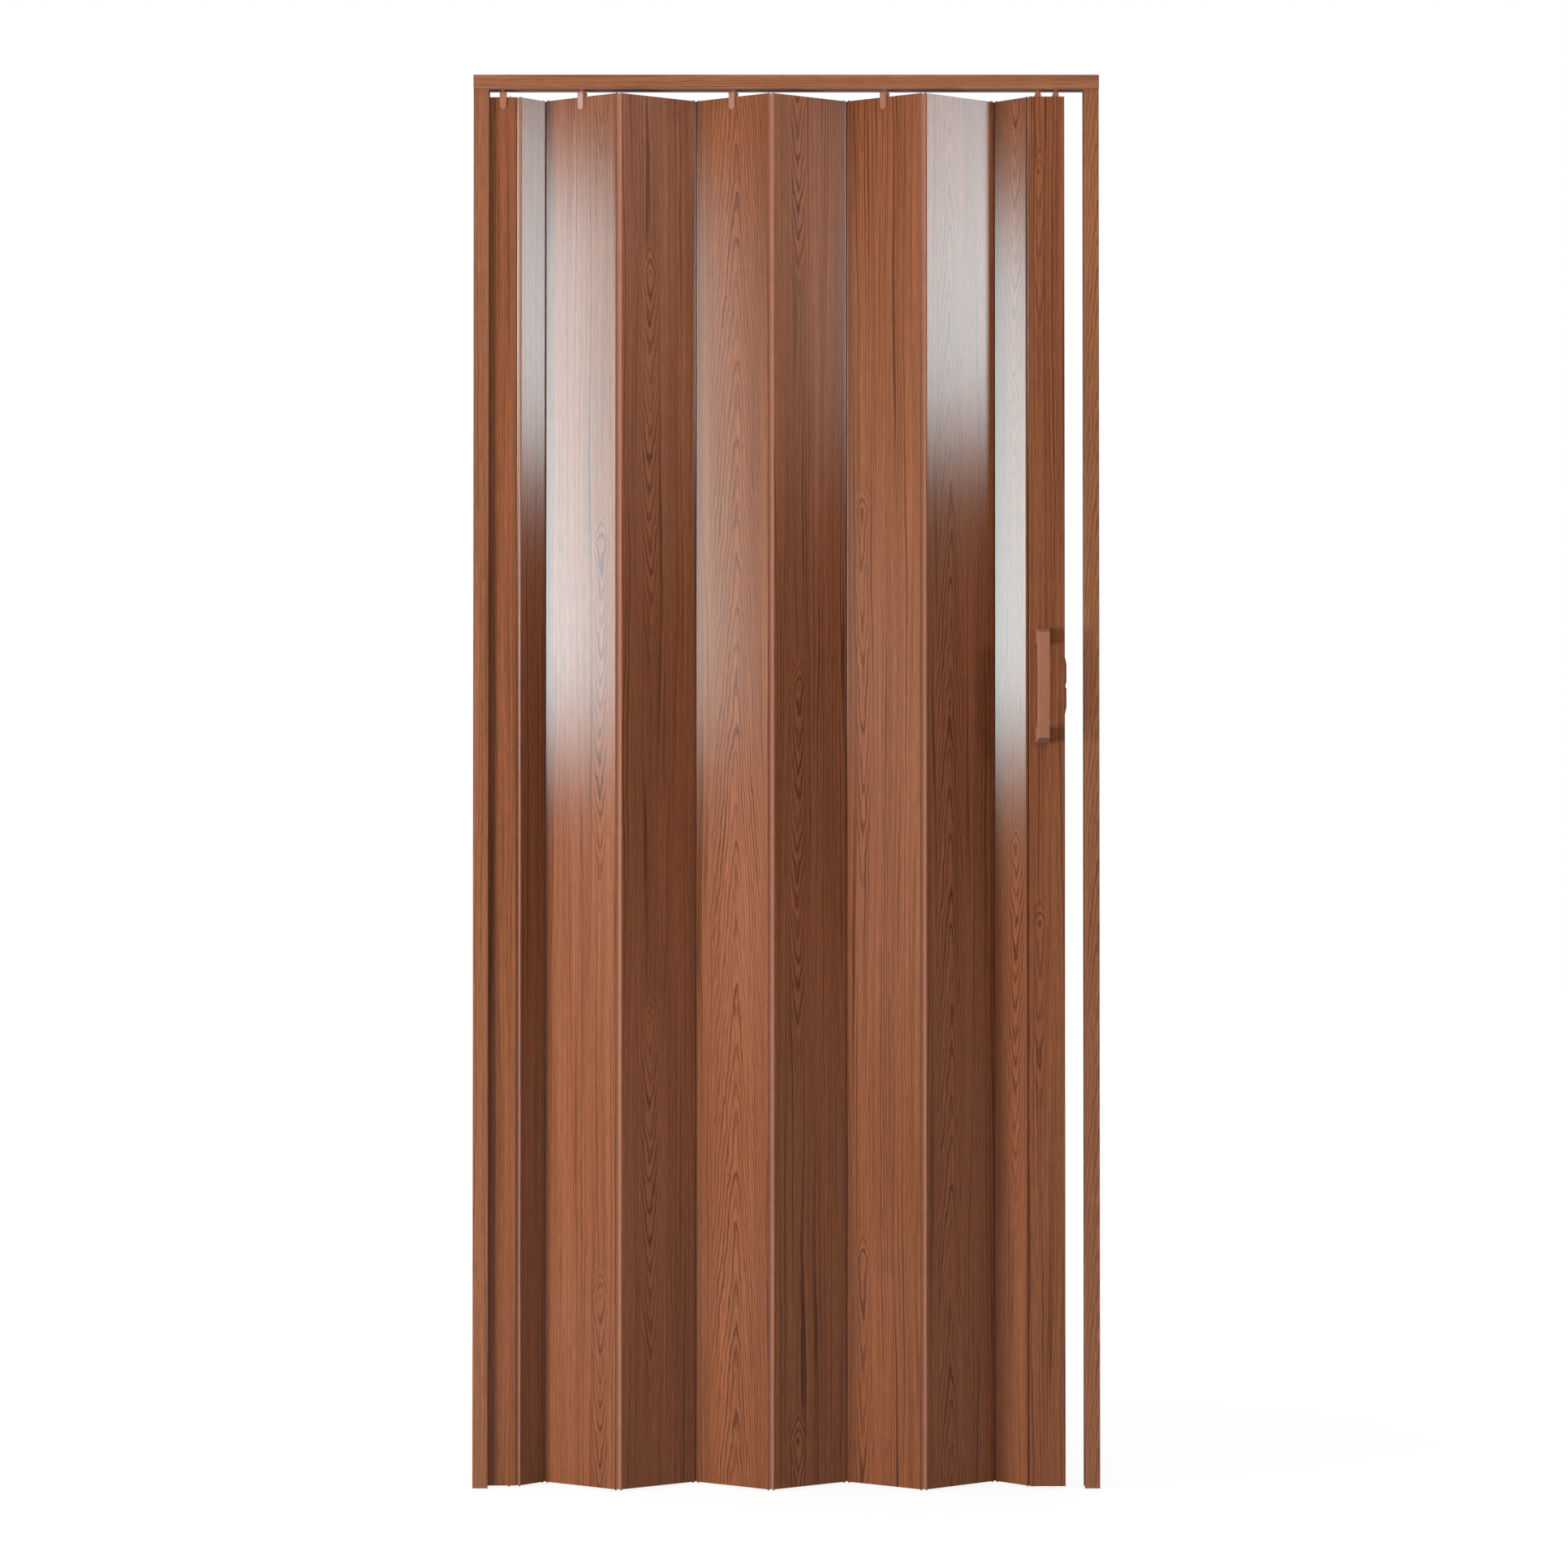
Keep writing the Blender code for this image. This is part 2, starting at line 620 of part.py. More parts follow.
def make_jamb(name, right):
    height = RAIL_BOTTOM - SEAT_GAP
    jamb = extrusion(name, jamb_loops(), height, WOOD)
    side = 1 if right else -1
    jamb.location = (side * FRAME_WIDTH / 2, 0.0, 0.0)
    if right:
        jamb.rotation_euler = (0.0, 0.0, math.pi)
    web = side * (FRAME_WIDTH - JAMB_WALL) / 2
    for number, z in enumerate(fixing_heights(0.0, height), 1):
        hole = cylinder_cutter(
            f"{name}_fixing_{number}", FIXING_HOLE / 2, JAMB_WALL * 3, (web, 0.0, z),
            (0.0, math.pi / 2, 0.0))
        boolean(jamb, hole, "DIFFERENCE")


def make_striker():
    x = FRAME_WIDTH / 2 - JAMB_WALL - SEAT_GAP - STRIKER_THICKNESS
    half = CATCH_DEPTH / 2
    outline = rectangle(0.0, -half, STRIKER_THICKNESS, half)
    place = (x, 0.0, HANDLE_HEIGHT - CATCH_LENGTH / 2)
    extrusion("striker", [outline], CATCH_LENGTH, STEEL, None, place)


def make_post(joint):
    post = extrusion("lead_post", post_loops(), PANEL_HEIGHT, WOOD, joint, (0.0, 0.0, PANEL_BOTTOM))
    handles = [make_handle("handle_front", joint, True), make_handle("handle_rear", joint, False)]
    make_bolts(joint, [post] + handles)
    catch = extrusion("catch", catch_loops(), CATCH_DEPTH, PLASTIC, joint)
    catch.rotation_euler = (math.pi / 2, 0.0, 0.0)
    catch.location = (POST_RIGHT + SEAT_GAP, CATCH_DEPTH / 2, HANDLE_HEIGHT)
    mesh = post_glide_mesh()
    for number, x in enumerate(POST_GLIDE_OFFSETS, 1):
        place_glide(f"post_glide_{number}", mesh, joint, x + POST_BLOCK)


def make_starter(clip_mesh):
    joint = make_joint("starter_joint", None, (STARTER_PIN_X, 0.0, 0.0), 0.0)
    place = (0.0, 0.0, PANEL_BOTTOM)
    extrusion("starter_profile", starter_loops(), PANEL_HEIGHT, WOOD, joint, place)
    place_glide("starter_glide", clip_mesh, joint, -STARTER_GLIDE_OFFSET)
    return joint


def panel_mouths(name):
    """Mouths of a panel's left and right sockets; odd panels come forward from left to right."""
    if name == "half_panel_left":
        low, high = LEFT_STRIP_MOUTH
        return (-high, -low), fold_mouth(True, False)
    if name == "half_panel_right":
        return fold_mouth(False, False), RIGHT_STRIP_MOUTH
    forward = int(name.rsplit("_", 1)[1]) % 2 == 1
    return fold_mouth(False, not forward), fold_mouth(True, forward)


def make_chain(links, root, clip_mesh):
    """Build every link from left to right, each carried by the pin at the end of the one before."""
    parent, place, before = root, (0.0, 0.0, 0.0), 0.0
    for name, length, angle in links:
        joint = make_joint(f"{name}_joint", parent, place, angle - before)
        if name.startswith("hinge_strip"):
            number = int(name.rsplit("_", 1)[1])
            end_strip = number in (1, PANEL_COUNT + 3)
            loops = end_strip_loops(length) if end_strip else fold_strip_loops(number % 2 == 1)
            make_strip(name, number, joint, loops, length)
        else:
            loops = panel_loops(length, *panel_mouths(name))
            extrusion(name, loops, PANEL_HEIGHT, WOOD, joint, (0.0, 0.0, PANEL_BOTTOM))
        if name.startswith("panel") and angle < 0:
            place_glide(f"{name}_glide", clip_mesh, joint, length / 2)
        parent, place, before = joint, (length, 0.0, 0.0), angle
    return make_joint("lead_post_joint", parent, place, -before)


def main():
    fold = solve_fold(POST_PIN_X - STARTER_PIN_X)
    make_rail()
    make_jamb("left_jamb", False)
    make_jamb("right_jamb", True)
    make_striker()
    clip_mesh = clip_glide_mesh()
    root = make_starter(clip_mesh)
    post_joint = make_chain(wave_links(fold), root, clip_mesh)
    make_post(post_joint)
    bpy.context.view_layer.update()


main()
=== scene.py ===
"""Looks of the folding accordion door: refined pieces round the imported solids, light and camera."""
import json
import math

import bmesh
import bpy
from mathutils import Matrix, Vector

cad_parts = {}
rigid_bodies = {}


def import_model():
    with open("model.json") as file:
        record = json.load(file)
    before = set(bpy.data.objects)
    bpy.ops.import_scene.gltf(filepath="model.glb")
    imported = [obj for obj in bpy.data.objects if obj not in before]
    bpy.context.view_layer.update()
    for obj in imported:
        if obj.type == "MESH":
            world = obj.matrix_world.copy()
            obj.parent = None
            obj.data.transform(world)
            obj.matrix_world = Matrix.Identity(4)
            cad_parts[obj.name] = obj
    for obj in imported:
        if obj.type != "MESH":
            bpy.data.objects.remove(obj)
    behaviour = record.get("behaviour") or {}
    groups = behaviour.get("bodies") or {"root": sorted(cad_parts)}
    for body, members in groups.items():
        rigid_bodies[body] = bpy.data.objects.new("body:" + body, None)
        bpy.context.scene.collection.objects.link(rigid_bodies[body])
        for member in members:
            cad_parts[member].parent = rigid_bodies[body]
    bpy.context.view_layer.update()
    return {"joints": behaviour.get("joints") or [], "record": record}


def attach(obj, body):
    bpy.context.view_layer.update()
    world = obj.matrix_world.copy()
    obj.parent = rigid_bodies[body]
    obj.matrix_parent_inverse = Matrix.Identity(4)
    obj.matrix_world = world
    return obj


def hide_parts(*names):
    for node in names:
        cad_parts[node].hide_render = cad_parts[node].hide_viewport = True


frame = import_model()

MM = 0.001

# Sizes of the profiles, as in the solids; lips and mouths in degrees
FRAME_WIDTH = 900 * MM
RAIL_DEPTH = 32 * MM
RAIL_HEIGHT = 20 * MM
RAIL_WALL = 1.8 * MM
RAIL_BOTTOM = 2010 * MM
TRACK_SLOT = 9 * MM
JAMB_DEPTH = 24 * MM
JAMB_FACE = 22 * MM
JAMB_WALL = 1.8 * MM
FIXING_RADIUS = 2.25 * MM
FIXING_INSET = 120 * MM
PANEL_BOTTOM = 2.5 * MM
PANEL_TOP = 1999.8 * MM
PANEL_HEIGHT = PANEL_TOP - PANEL_BOTTOM
HALF_THICKNESS = 3.2 * MM
PANEL_SKIN = 0.9 * MM
CELL_PITCH = 20 * MM
CELL_END = 6.5 * MM
TUBE_RADIUS = 2.35 * MM
STRIP_PLATE = 1.05 * MM
END_STRIP_WEB = 1.6 * MM
PIN_RADIUS = 1.25 * MM
PIN_PROUD = 2.1 * MM
BORE_RADIUS = 1.45 * MM
SOCKET_RADIUS = 2.5 * MM
CONVEX_LIP = 70.0
CONCAVE_LIP = 68.0
RIGHT_STRIP_MOUTH = (10.0, 82.0)
STARTER_PIN_INSET = 51.8 * MM
STARTER_FLAP = 9.4 * MM
STARTER_FLAP_THICKNESS = 0.7 * MM
STARTER_FOOT = 3 * MM
STARTER_BACK_LIP = 112.0
POST_RIGHT = 46.9 * MM
POST_DEPTH = 16.8 * MM
POST_WALL = 1.5 * MM
POST_LIP = 4.7 * MM
POST_BLOCK = 4.2 * MM
POST_MOUTH = 1.2 * MM
GLIDE_WIDTH = 9.6 * MM
GLIDE_TAB = 2.2 * MM
GLIDE_RISE = 7 * MM
GLIDE_DROP = 17.5 * MM
NECK_RADIUS = 1.7 * MM
HEAD_RADIUS = 7 * MM
HEAD_LOW = 12.3 * MM
HEAD_HIGH = 17.3 * MM
HEAD_CHAMFER = 1.2 * MM
STARTER_GLIDE_OFFSET = 10 * MM
POST_GLIDE_WIDTH = 9 * MM
POST_GLIDE_PLUG = 15 * MM
POST_GLIDE_SHOULDER = 3 * MM
POST_GLIDE_TOP = 6.4 * MM
POST_GLIDE_SLANT = 0.25
POST_GLIDE_PLACES = (9 * MM, 34.5 * MM)
HANDLE_HEIGHT = 1151 * MM
HANDLE_LENGTH = 166 * MM
HANDLE_WIDTH = 19.6 * MM
HANDLE_REACH = 32.7 * MM
HANDLE_BOW = 6 * MM
HANDLE_BAR = 13 * MM
HANDLE_FOOT = 23 * MM
HANDLE_SLOPE = 6.8 * MM
HANDLE_DRAFT = 1.25 * MM
HANDLE_OFFSET = 14.5 * MM
BOLT_RADIUS = 2 * MM
BOLT_BITE = 12 * MM
BOLT_CLEARANCE = 0.3 * MM
CATCH_LENGTH = 82 * MM
CATCH_DEPTH = 10 * MM
CATCH_PROUD = 2.2 * MM
CATCH_SLOPE = 10 * MM
CATCH_NOTCH = 7 * MM
CATCH_NOTCH_DEPTH = 1.2 * MM
STRIKER_THICKNESS = 3 * MM
SEAT_GAP = 0.3 * MM
STRIP_COUNT = 9
GLIDE_PANELS = ("panel_1", "panel_3", "panel_5")

# Fine trim that only the looks have
STRIP_GROOVE = 1.0 * MM
STRIP_RISE = 0.4 * MM
RAMP_BACK = 9.3 * MM
RAMP_START = 10.2 * MM
RAMP_END = 12.6 * MM
RAMP_TOP = 2.25 * MM
RAMP_FOOT = 0.3 * MM
LEFT_STRIP_MOUTH = (-75.0, 68.0)
GLIDE_DRAFT = 1.15 * MM
PIN_TIP_SHARE = 0.6
BOLT_BEVEL = 0.4 * MM
GLIDE_EDGE = 0.5 * MM
HANDLE_EDGE = 1.1 * MM
CATCH_EDGE = 0.3 * MM
EDGE_RADIUS = 0.9 * MM
LIP_RADIUS = 0.25 * MM

# How the meshes are made: angles in degrees, the reach of a fixing bore in walls
ARC_STEP = 7.0
ROUND_SIDES = 24
CORNER_STEPS = 3
CORNER_SHARE = 0.45
CORNER_ANGLE = 40.0
BOW_STEPS = 14
FLAT_ANGLE = 0.5
SMOOTH_ANGLE = 34.0
STRIP_SMOOTH_ANGLE = 10.0
BORE_REACH = 3
WELD_DISTANCE = 0.001 * MM

# Print and plastic colours, linear
PRINT_LIGHT = (0.400, 0.136, 0.057)
PRINT_DARK = (0.106, 0.0255, 0.0112)
FRAME_LIGHT = (0.400, 0.155, 0.072)
FRAME_DARK = (0.190, 0.062, 0.030)
HINGE_COLOUR = (0.51, 0.212, 0.130)
MOULD_COLOUR = (0.53, 0.216, 0.122)
STEEL_COLOUR = (0.56, 0.56, 0.57)
WHITE = (1.0, 1.0, 1.0)

# Layers of noise in the print: cells per metre across and along, place in the noise, detail
BEND_GRAIN = (7.0, 2.2, 0.0, 2.0)
RIPPLE_GRAIN = (50.0, 16.0, 3.1, 2.0)
DRIFT_GRAIN = (48.0, 0.6, 0.4, 2.0)
STREAK_GRAIN = (560.0, 3.0, 5.0, 3.0)
WOBBLE_GRAIN = (30.0, 9.0, 2.2, 2.0)
SHAKE_GRAIN = (110.0, 34.0, 2.9, 2.0)
FIBRE_GRAIN = (800.0, 30.0, 6.0, 3.0)
BAND_GRAIN = (34.0, 0.8, 9.0, 2.0)
PORE_GRAIN = (1300.0, 60.0, 1.3, 1.0)
NOISE_RANGE = (0.25, 0.75)
PORE_RANGE = (0.28, 0.40)
SKIN_RANGE = (0.3, 0.7)

# Figure of the print: lengths in metres, drift and shake in rings, rims as shares of what they close
PRINT_PERIOD = 1.08
HEART_ROUND = 0.0042
EYE_CAP = 0.016
RING_BEND = 0.007
RING_RIPPLE = 0.0014
RING_DRIFT = 7.0
RING_STOPS = ((0.0, 0.15), (0.30, 0.0), (0.78, 1.0), (1.0, 0.15))
RING_CHANGE = (0.73, 1.8)
RING_RANGE = (0.32, 0.68)
TIP_SHAKE = 0.5
HEART_RIM = (0.6, 1.3)
CHAIN_RIM = (0.8, 1.25)
CAP_RIM = (0.5, 4.0)

# Darkest and lightest share of each layer of the print
STREAK_SHADES = (0.80, 1.26)
FIBRE_SHADES = (0.77, 1.23)
BAND_SHADES = (0.87, 1.13)
PORE_SHADES = (0.84, 1.0)

# Gloss and skin of the plastics
PRINT_ROUGHNESS = 0.17
PRINT_ROUGHNESS_CHANGE = 0.02
PRINT_INDEX = 1.5
GLOSS_LEVEL = 0.5
PRINT_BUMP = (0.06, 0.1 * MM)
PLASTIC_BUMP = (0.05, 0.05 * MM)
PLASTIC_ROUGHNESS_CHANGE = 0.05
PLASTIC_MOTTLE = 0.06

# Scale and detail of the clouds, skin and specks, and the look of the steel
PLASTIC_CLOUDS = (90.0, 3.0)
PLASTIC_SKIN = (2600.0, 2.0)
FLOOR_SPECKS = (40.0, 2.0)
STEEL_STRETCH = (3000.0, 3000.0, 40.0)
STEEL_STREAKS = (1.0, 3.0)
STEEL_SHADES = (0.82, 1.12)
STEEL_ROUGHNESS = (0.30, 0.45)

# Floor, room and camera
FLOOR_HALF = 14.0
FLOOR_LEVEL = -1 * MM
FLOOR_ROUGHNESS = 0.9
FLOOR_SHADES = (0.17, 0.19)
FLOOR_IN_GLOSS = 0.12
PAPER_REACH = (0.8, 2.6)
PAPER_GLOW = (0.88, 1.0)
ROOM_LIGHT = 0.325
SKY_LIGHT = 0.70
ROOM_GLOSS = 0.05
CAMERA_PLACE = (-0.0032, -5.5, 0.970)
CAMERA_TILT = 0.0127
CAMERA_LENS = 87.73
CAMERA_SENSOR = 36.0
CAMERA_SHIFT = -0.01346
CAMERA_FAR = 60.0


# Chain of bodies: where each link starts and how it is turned

BODY_OF = {}
for body_name, members in frame["record"]["behaviour"]["bodies"].items():
    for member in members:
        BODY_OF[member] = body_name
JOINT_TO = {joint["child"]: Vector(joint["pos_m"]) for joint in frame["joints"]}
JOINT_FROM = {joint["parent"]: Vector(joint["pos_m"]) for joint in frame["joints"]}


def link_length(body):
    return (JOINT_FROM[body] - JOINT_TO[body]).length


def link_matrix(body):
    """Frame of a body at rest: x from its own pin to the next one, z up from the floor."""
    start = JOINT_TO[body]
    turn = 0.0
    if body in JOINT_FROM:
        reach = JOINT_FROM[body] - start
        turn = math.atan2(reach.y, reach.x)
    return Matrix.Translation((start.x, start.y, 0.0)) @ Matrix.Rotation(turn, 4, "Z")


# Outlines

def arc(centre, radius, start, end):
    """Points on a circle from one angle to another, in degrees, ends included."""
    steps = max(2, math.ceil(abs(end - start) / ARC_STEP))
    angles = [math.radians(start + (end - start) * i / steps) for i in range(steps + 1)]
    return [(centre[0] + radius * math.cos(a), centre[1] + radius * math.sin(a)) for a in angles]


def circle(centre, radius):
    turns = [2 * math.pi * i / ROUND_SIDES for i in range(ROUND_SIDES)]
    return [(centre[0] + radius * math.cos(a), centre[1] + radius * math.sin(a)) for a in turns]


def rectangle(low_x, low_y, high_x, high_y):
    return [(low_x, low_y), (high_x, low_y), (high_x, high_y), (low_x, high_y)]


def rounded(points, radius):
    """The same closed outline with each sharp corner eased over about the given radius."""
    eased = []
    for index, point in enumerate(points):
        corner = Vector(point)
        back = Vector(points[index - 1]) - corner
        ahead = Vector(points[(index + 1) % len(points)]) - corner
        if back.angle(-ahead) < math.radians(CORNER_ANGLE):
            eased.append(point)
            continue
        cut = min(radius, CORNER_SHARE * back.length, CORNER_SHARE * ahead.length)
        for step in range(CORNER_STEPS + 1):
            t = step / CORNER_STEPS
            spot = corner + back.normalized() * cut * (1 - t) ** 2 + ahead.normalized() * cut * t ** 2
            eased.append((spot.x, spot.y))
    return eased


def socket_end(centre_x, turn, low, high):
    """Round edge of a panel with its pin socket; the mouth spans low to high from the outward axis."""
    centre = (centre_x, 0.0)
    points = arc(centre, HALF_THICKNESS, turn - 90, turn + low)
    points += arc(centre, SOCKET_RADIUS, turn + low, turn + high - 360)
    points += arc(centre, HALF_THICKNESS, turn + high, turn + 90)
    return points


def fold_mouth(right_end, convex_front):
    """Mouth of a socket that holds a fold strip, counter-clockwise from the outward axis."""
    if right_end == convex_front:
        return -CONVEX_LIP, CONCAVE_LIP
    return -CONCAVE_LIP, CONVEX_LIP


def panel_mouths(node):
    """Mouths of a panel's left and right sockets; odd panels come forward from left to right."""
    if node == "half_panel_left":
        low, high = LEFT_STRIP_MOUTH
        return (-high, -low), fold_mouth(True, False)
    if node == "half_panel_right":
        return fold_mouth(False, False), RIGHT_STRIP_MOUTH
    forward = int(node.rsplit("_", 1)[1]) % 2 == 1
    return fold_mouth(False, not forward), fold_mouth(True, forward)


def panel_loops(length, left_mouth, right_mouth):
    outline = socket_end(length, 0, *right_mouth) + socket_end(0, 180, *left_mouth)
    room = length - 2 * CELL_END
    cells = max(1, round(room / CELL_PITCH))
    pitch = (room + PANEL_SKIN) / cells
    side = HALF_THICKNESS - PANEL_SKIN
    loops = [rounded(outline, LIP_RADIUS)]
    for cell in range(cells):
        start = CELL_END + pitch * cell
        loops.append(rounded(rectangle(start, -side, start + pitch - PANEL_SKIN, side), LIP_RADIUS))
    return loops


def fold_strip_loops(length, convex_front):
    """Two pin tubes with a plate on the convex side, folded in and thinned along its middle."""
    base = -TUBE_RADIUS + STRIP_PLATE
    inner = math.degrees(math.asin(-base / TUBE_RADIUS))
    outline = arc((0, 0), TUBE_RADIUS, -inner, 270)
    outline += [(length / 2, -TUBE_RADIUS + STRIP_GROOVE)]
    outline += arc((length, 0), TUBE_RADIUS, -90, 180 + inner)
    outline += [(length / 2, base + STRIP_RISE)]
    loops = [outline, circle((0, 0), BORE_RADIUS), circle((length, 0), BORE_RADIUS)]
    if convex_front:
        return loops
    return [[(x, -y) for x, y in loop] for loop in loops]


def end_strip_loops(length, ramp):
    """Two pin tubes joined by a flat web, which can fall away in a ramp in front of the second tube."""
    inner = math.degrees(math.asin(END_STRIP_WEB / 2 / TUBE_RADIUS))
    outline = arc((0, 0), TUBE_RADIUS, inner, 360 - inner)
    foot = inner
    if ramp:
        outline += [(RAMP_BACK, -END_STRIP_WEB / 2), (RAMP_START, -RAMP_TOP), (RAMP_END, -RAMP_FOOT)]
        foot = math.degrees(math.asin(RAMP_FOOT / TUBE_RADIUS))
    outline += arc((length, 0), TUBE_RADIUS, 180 + foot, 540 - inner)
    return [outline, circle((0, 0), BORE_RADIUS), circle((length, 0), BORE_RADIUS)]


def starter_loops():
    """Flat profile with a foot in the jamb, a pin socket, and a flap that covers the pin in front."""
    foot_left = -STARTER_PIN_INSET + JAMB_WALL + SEAT_GAP
    foot_half = JAMB_DEPTH / 2 - JAMB_WALL - SEAT_GAP
    foot_right = foot_left + STARTER_FOOT
    flap_inside = -HALF_THICKNESS + STARTER_FLAP_THICKNESS
    outline = [(foot_left, -foot_half), (foot_right, -foot_half), (foot_right, -HALF_THICKNESS)]
    outline += [(STARTER_FLAP, -HALF_THICKNESS), (STARTER_FLAP, flap_inside)]
    outline += arc((0, 0), SOCKET_RADIUS, 270, STARTER_BACK_LIP)
    outline += arc((0, 0), HALF_THICKNESS, STARTER_BACK_LIP, 90)[:1]
    outline += [(-HALF_THICKNESS, HALF_THICKNESS), (foot_right, HALF_THICKNESS)]
    outline += [(foot_right, foot_half), (foot_left, foot_half)]
    side = HALF_THICKNESS - PANEL_SKIN
    cell = rectangle(foot_right + PANEL_SKIN, -side, -CELL_END, side)
    return [rounded(outline, LIP_RADIUS), rounded(cell, LIP_RADIUS)]


def post_loops():
    """Hollow post; its left edge holds the pin socket behind a lip that covers it in front."""
    half = POST_DEPTH / 2
    inside = half - POST_WALL
    mouth = math.degrees(math.acos(-POST_MOUTH / SOCKET_RADIUS))
    outline = [(-POST_LIP, -half), (POST_RIGHT, -half), (POST_RIGHT, half), (-POST_MOUTH, half)]
    outline += arc((0, 0), SOCKET_RADIUS, mouth, -mouth)
    outline += [(-POST_MOUTH, -inside), (-POST_LIP, -inside)]
    cell = rectangle(POST_BLOCK, -inside, POST_RIGHT - POST_WALL, inside)
    return [rounded(outline, EDGE_RADIUS), rounded(cell, LIP_RADIUS)]


def rail_loops():
    """C channel seen from its end: x is the depth, y the height over the rail's underside."""
    half = RAIL_DEPTH / 2
    inside = half - RAIL_WALL
    slot = TRACK_SLOT / 2
    roof = RAIL_HEIGHT - RAIL_WALL
    outline = [(-half, 0), (-slot, 0), (-slot, RAIL_WALL), (-inside, RAIL_WALL), (-inside, roof)]
    outline += [(inside, roof), (inside, RAIL_WALL), (slot, RAIL_WALL), (slot, 0), (half, 0)]
    return [rounded(outline + [(half, RAIL_HEIGHT), (-half, RAIL_HEIGHT)], EDGE_RADIUS)]


def jamb_loops():
    """U channel that opens towards +X, with its web on x = 0."""
    half = JAMB_DEPTH / 2
    inside = half - JAMB_WALL
    outline = [(0, -half), (JAMB_FACE, -half), (JAMB_FACE, -inside), (JAMB_WALL, -inside)]
    outline += [(JAMB_WALL, inside), (JAMB_FACE, inside), (JAMB_FACE, half), (0, half)]
    return [rounded(outline, EDGE_RADIUS)]


def catch_loops():
    """Edge catch seen from the front: x is proud of the post, y runs up it, with a notch midway."""
    half = CATCH_LENGTH / 2
    notch = CATCH_NOTCH / 2
    flat = half - CATCH_SLOPE
    low = CATCH_PROUD - CATCH_NOTCH_DEPTH
    lower = [(0.0, -half), (CATCH_PROUD, -flat), (CATCH_PROUD, -notch), (low, -notch)]
    upper = [(x, -y) for x, y in reversed(lower)]
    return [rounded(lower + upper, GLIDE_EDGE)]


# Meshes

def evaluated_mesh(source):
    bpy.context.view_layer.update()
    graph = bpy.context.evaluated_depsgraph_get()
    return bpy.data.meshes.new_from_object(source.evaluated_get(graph))


def outline_mesh(name, loops, depth):
    """Extrude 2D loops from z = 0 to z = depth; loops after the first are holes."""
    curve = bpy.data.curves.new(name, "CURVE")
    curve.dimensions = "2D"
    curve.fill_mode = "BOTH"
    curve.extrude = depth / 2
    for loop in loops:
        spline = curve.splines.new("POLY")
        spline.points.add(len(loop) - 1)
        for point, (x, y) in zip(spline.points, loop):
            point.co = (x, y, 0.0, 1.0)
        spline.use_cyclic_u = True
    source = bpy.data.objects.new(name, curve)
    bpy.context.scene.collection.objects.link(source)
    mesh = evaluated_mesh(source)
    bpy.data.objects.remove(source, do_unlink=True)
    edit = bmesh.new()
    edit.from_mesh(mesh)
    bmesh.ops.remove_doubles(edit, verts=edit.verts, dist=WELD_DISTANCE)
    bmesh.ops.translate(edit, verts=edit.verts, vec=(0.0, 0.0, depth / 2))
    bmesh.ops.recalc_face_normals(edit, faces=edit.faces)
    edit.to_mesh(mesh)
    edit.free()
    return mesh


def turned_mesh(name, profile):
    """A profile of (radius, height) points turned about Z into a closed solid."""
    edit = bmesh.new()
    spots = [edit.verts.new((radius, 0.0, height)) for radius, height in profile]
    rims = [edit.edges.new(pair) for pair in zip(spots, spots[1:])]
    bmesh.ops.spin(
        edit, geom=spots + rims, cent=(0, 0, 0), axis=(0, 0, 1), angle=2 * math.pi,
        steps=ROUND_SIDES, use_merge=True, use_duplicate=False)
    bmesh.ops.remove_doubles(edit, verts=edit.verts, dist=WELD_DISTANCE)
    bmesh.ops.recalc_face_normals(edit, faces=edit.faces)
    mesh = bpy.data.meshes.new(name)
    edit.to_mesh(mesh)
    edit.free()
    return mesh


def cylinder_mesh(name, radius, low, high):
    return turned_mesh(name, [(0.0, high), (radius, high), (radius, low), (0.0, low)])


def box_mesh(name, low, high):
    mesh = outline_mesh(name, [rectangle(low[0], low[1], high[0], high[1])], high[2] - low[2])
    mesh.transform(Matrix.Translation((0.0, 0.0, low[2])))
    return mesh


def combined(mesh, tools, edge=0.0):
    """The mesh with its edges eased and each (tool mesh, operation) worked into it."""
    body = bpy.data.objects.new("work", mesh)
    bpy.context.scene.collection.objects.link(body)
    if edge:
        bevel = body.modifiers.new("edges", "BEVEL")
        bevel.width = edge
        bevel.segments = CORNER_STEPS
        bevel.angle_limit = math.radians(CORNER_ANGLE)
    helpers = []
    for number, (tool_mesh, operation) in enumerate(tools):
        tool = bpy.data.objects.new(f"tool_{number}", tool_mesh)
        bpy.context.scene.collection.objects.link(tool)
        helpers.append(tool)
        modifier = body.modifiers.new(tool.name, "BOOLEAN")
        modifier.operation = operation
        modifier.object = tool
        modifier.solver = "EXACT"
    result = evaluated_mesh(body)
    for helper in [body] + helpers:
        bpy.data.objects.remove(helper, do_unlink=True)
    return result


def add_piece(node, mesh, material, matrix, smooth=SMOOTH_ANGLE):
    """A finished piece that stands for one CAD node and moves with that node's body.

    It doesn't show in the gloss of the others, which mirror the soft boxes alone.
    """
    mesh.shade_smooth()
    mesh.set_sharp_from_angle(angle=math.radians(smooth))
    mesh.materials.clear()
    mesh.materials.append(material)
    piece = bpy.data.objects.new(f"{node}_look", mesh)
    bpy.context.scene.collection.objects.link(piece)
    piece.matrix_world = matrix
    piece.visible_glossy = False
    flats = piece.modifiers.new("flat_faces", "WEIGHTED_NORMAL")
    flats.keep_sharp = True
    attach(piece, BODY_OF[node])
    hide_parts(node)


# Materials

